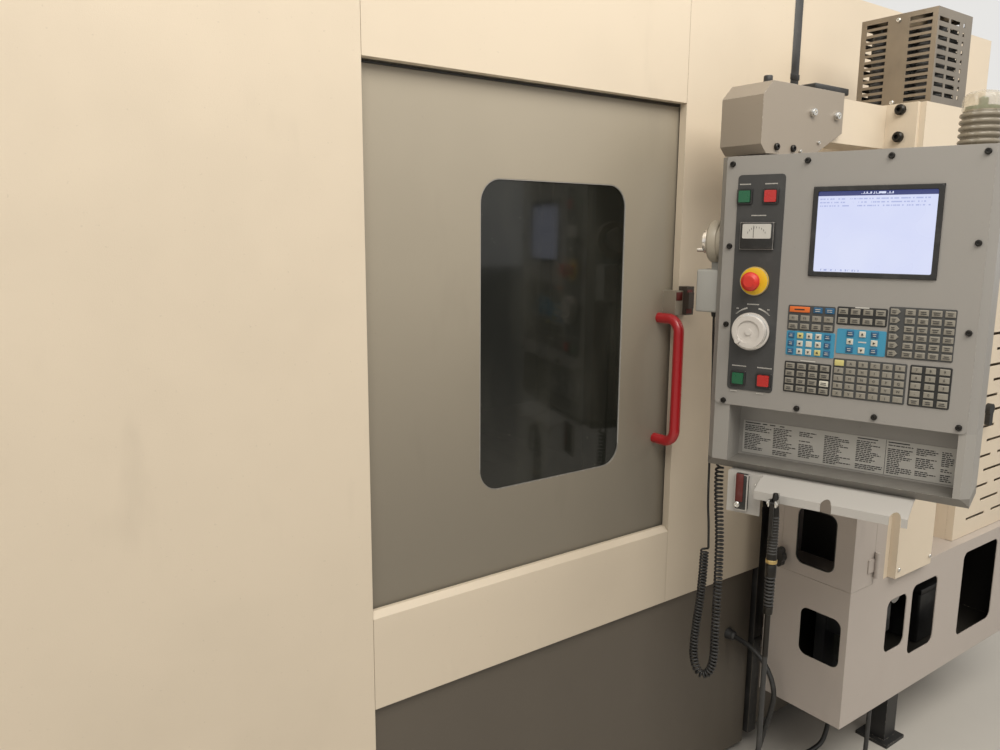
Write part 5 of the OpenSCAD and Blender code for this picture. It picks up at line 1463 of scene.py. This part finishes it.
def cage_elements():
    """Ceramic resistors seen through the cage's slots."""
    winding = [(0.0, 0.0), (0.004, 0.0), (0.004, 0.012), (0.018, 0.013)]
    for k in range(19):
        winding += [(0.0215, 0.0165 + k * 0.0088), (0.0175, 0.0210 + k * 0.0088)]
    winding += [(0.018, 0.184), (0.004, 0.185), (0.004, 0.196), (0.0, 0.196)]
    places = [shift(x, y, 1.8352) for x in (2.147, 2.198, 2.249) for y in (-0.393, -0.335, -0.277)]
    turned_set("cage_elements", winding, "iron", places, 14)
    points = [(-0.335, 2.038, 0.001), (-0.335, 1.846, 0.001)]
    screws("cage_screws", points, 0.011, 0.004, "bolt", "machine", facing_left(CAGE_X))


# The finish of every CAD piece

FINISHES = {
    "cream": "door_header_panel electrical_cabinet electrical_door boom_arm",
    "cream_right": "right_front_panel",
    "cream_sill": "door_sill_panel",
    "cream_dirt_and_shade": "left_front_panel",
    "shell": "enclosure_shell",
    "door": "front_door",
    "skirt": "base_skirt",
    "beige": "air_cabinet",
    "beige_door": "corner_door",
    "cream_tall": "tall_cabinet",
    "cover": "swivel_cover",
    "pendant": "pendant_housing pendant_face",
    "tray": "pendant_tray",
    "bracket": "hook_bracket",
    "column": "column spindle_head partition_wall",
    "frame": "tool_changer_frame table_saddle changer_fork",
    "handle": "door_handle",
    "casting": "bed_casting",
    "iron": "levelling_feet chip_auger rotary_table",
    "ground": "door_rail guide_rails spindle changer_shaft tool_carousel tool_change_arm",
    "machined": "load_pallet machining_pallet",
    "stainless": "resistor_cage",
    "lock_dark": "door_interlock",
    "pane": "door_window",
    "black": "corner_latch electrical_handle lcd_screen",
    "charcoal": "keypad",
    "red_lens": "power_off_button feed_hold_button",
    "green_lens": "power_on_button cycle_start_button",
    "red_cap": "estop_button",
    "white": "jog_dial",
    "chrome": "remote_wheel",
    "beacon": "beacon",
    "remote": "remote_unit",
    "rubber": "remote_lead remote_curl floor_cable",
    "hose": "air_hose air_gun",
    "black_steel": "air_unit gun_lever",
}

# The scene

add_camera()
curly_cord()
air_hose()
power_cable()
for finish, names in FINISHES.items():
    for name in names.split():
        dress(name, finish)
for trim in (
    door_trim, front_trim, shell_seams, arm_trim, beacon_stack, switch_field, stop_collar, load_meter,
    switch_marks, face_screws, screen_trim, keypad_fields, dial_label, tray_trim, air_gun_detail,
    remote_detail, air_unit_detail, corner_trim, cage_elements
):
    trim()
add_light()

floor_mesh = bpy.data.meshes.new("pale_floor")
floor_mesh.from_pydata([(-30, -30, 0), (30, -30, 0), (30, 30, 0), (-30, 30, 0)], [], [(0, 1, 2, 3)])
floor = add_object("pale_floor", floor_mesh)
floor_paint = Finish("pale_floor", Roughness=0.7)
floor_cloud = floor_paint.noise(floor_paint.place(), 1.3, 5.0, 0.6)
floor_tone = floor_paint.blend(floor_cloud, rgba((0.52, 0.50, 0.47)), rgba((0.62, 0.60, 0.56)))
floor_paint.feed("Base Color", floor_tone)
floor_mesh.materials.append(floor_paint.material)

bpy.context.scene.view_settings.view_transform = "Standard"
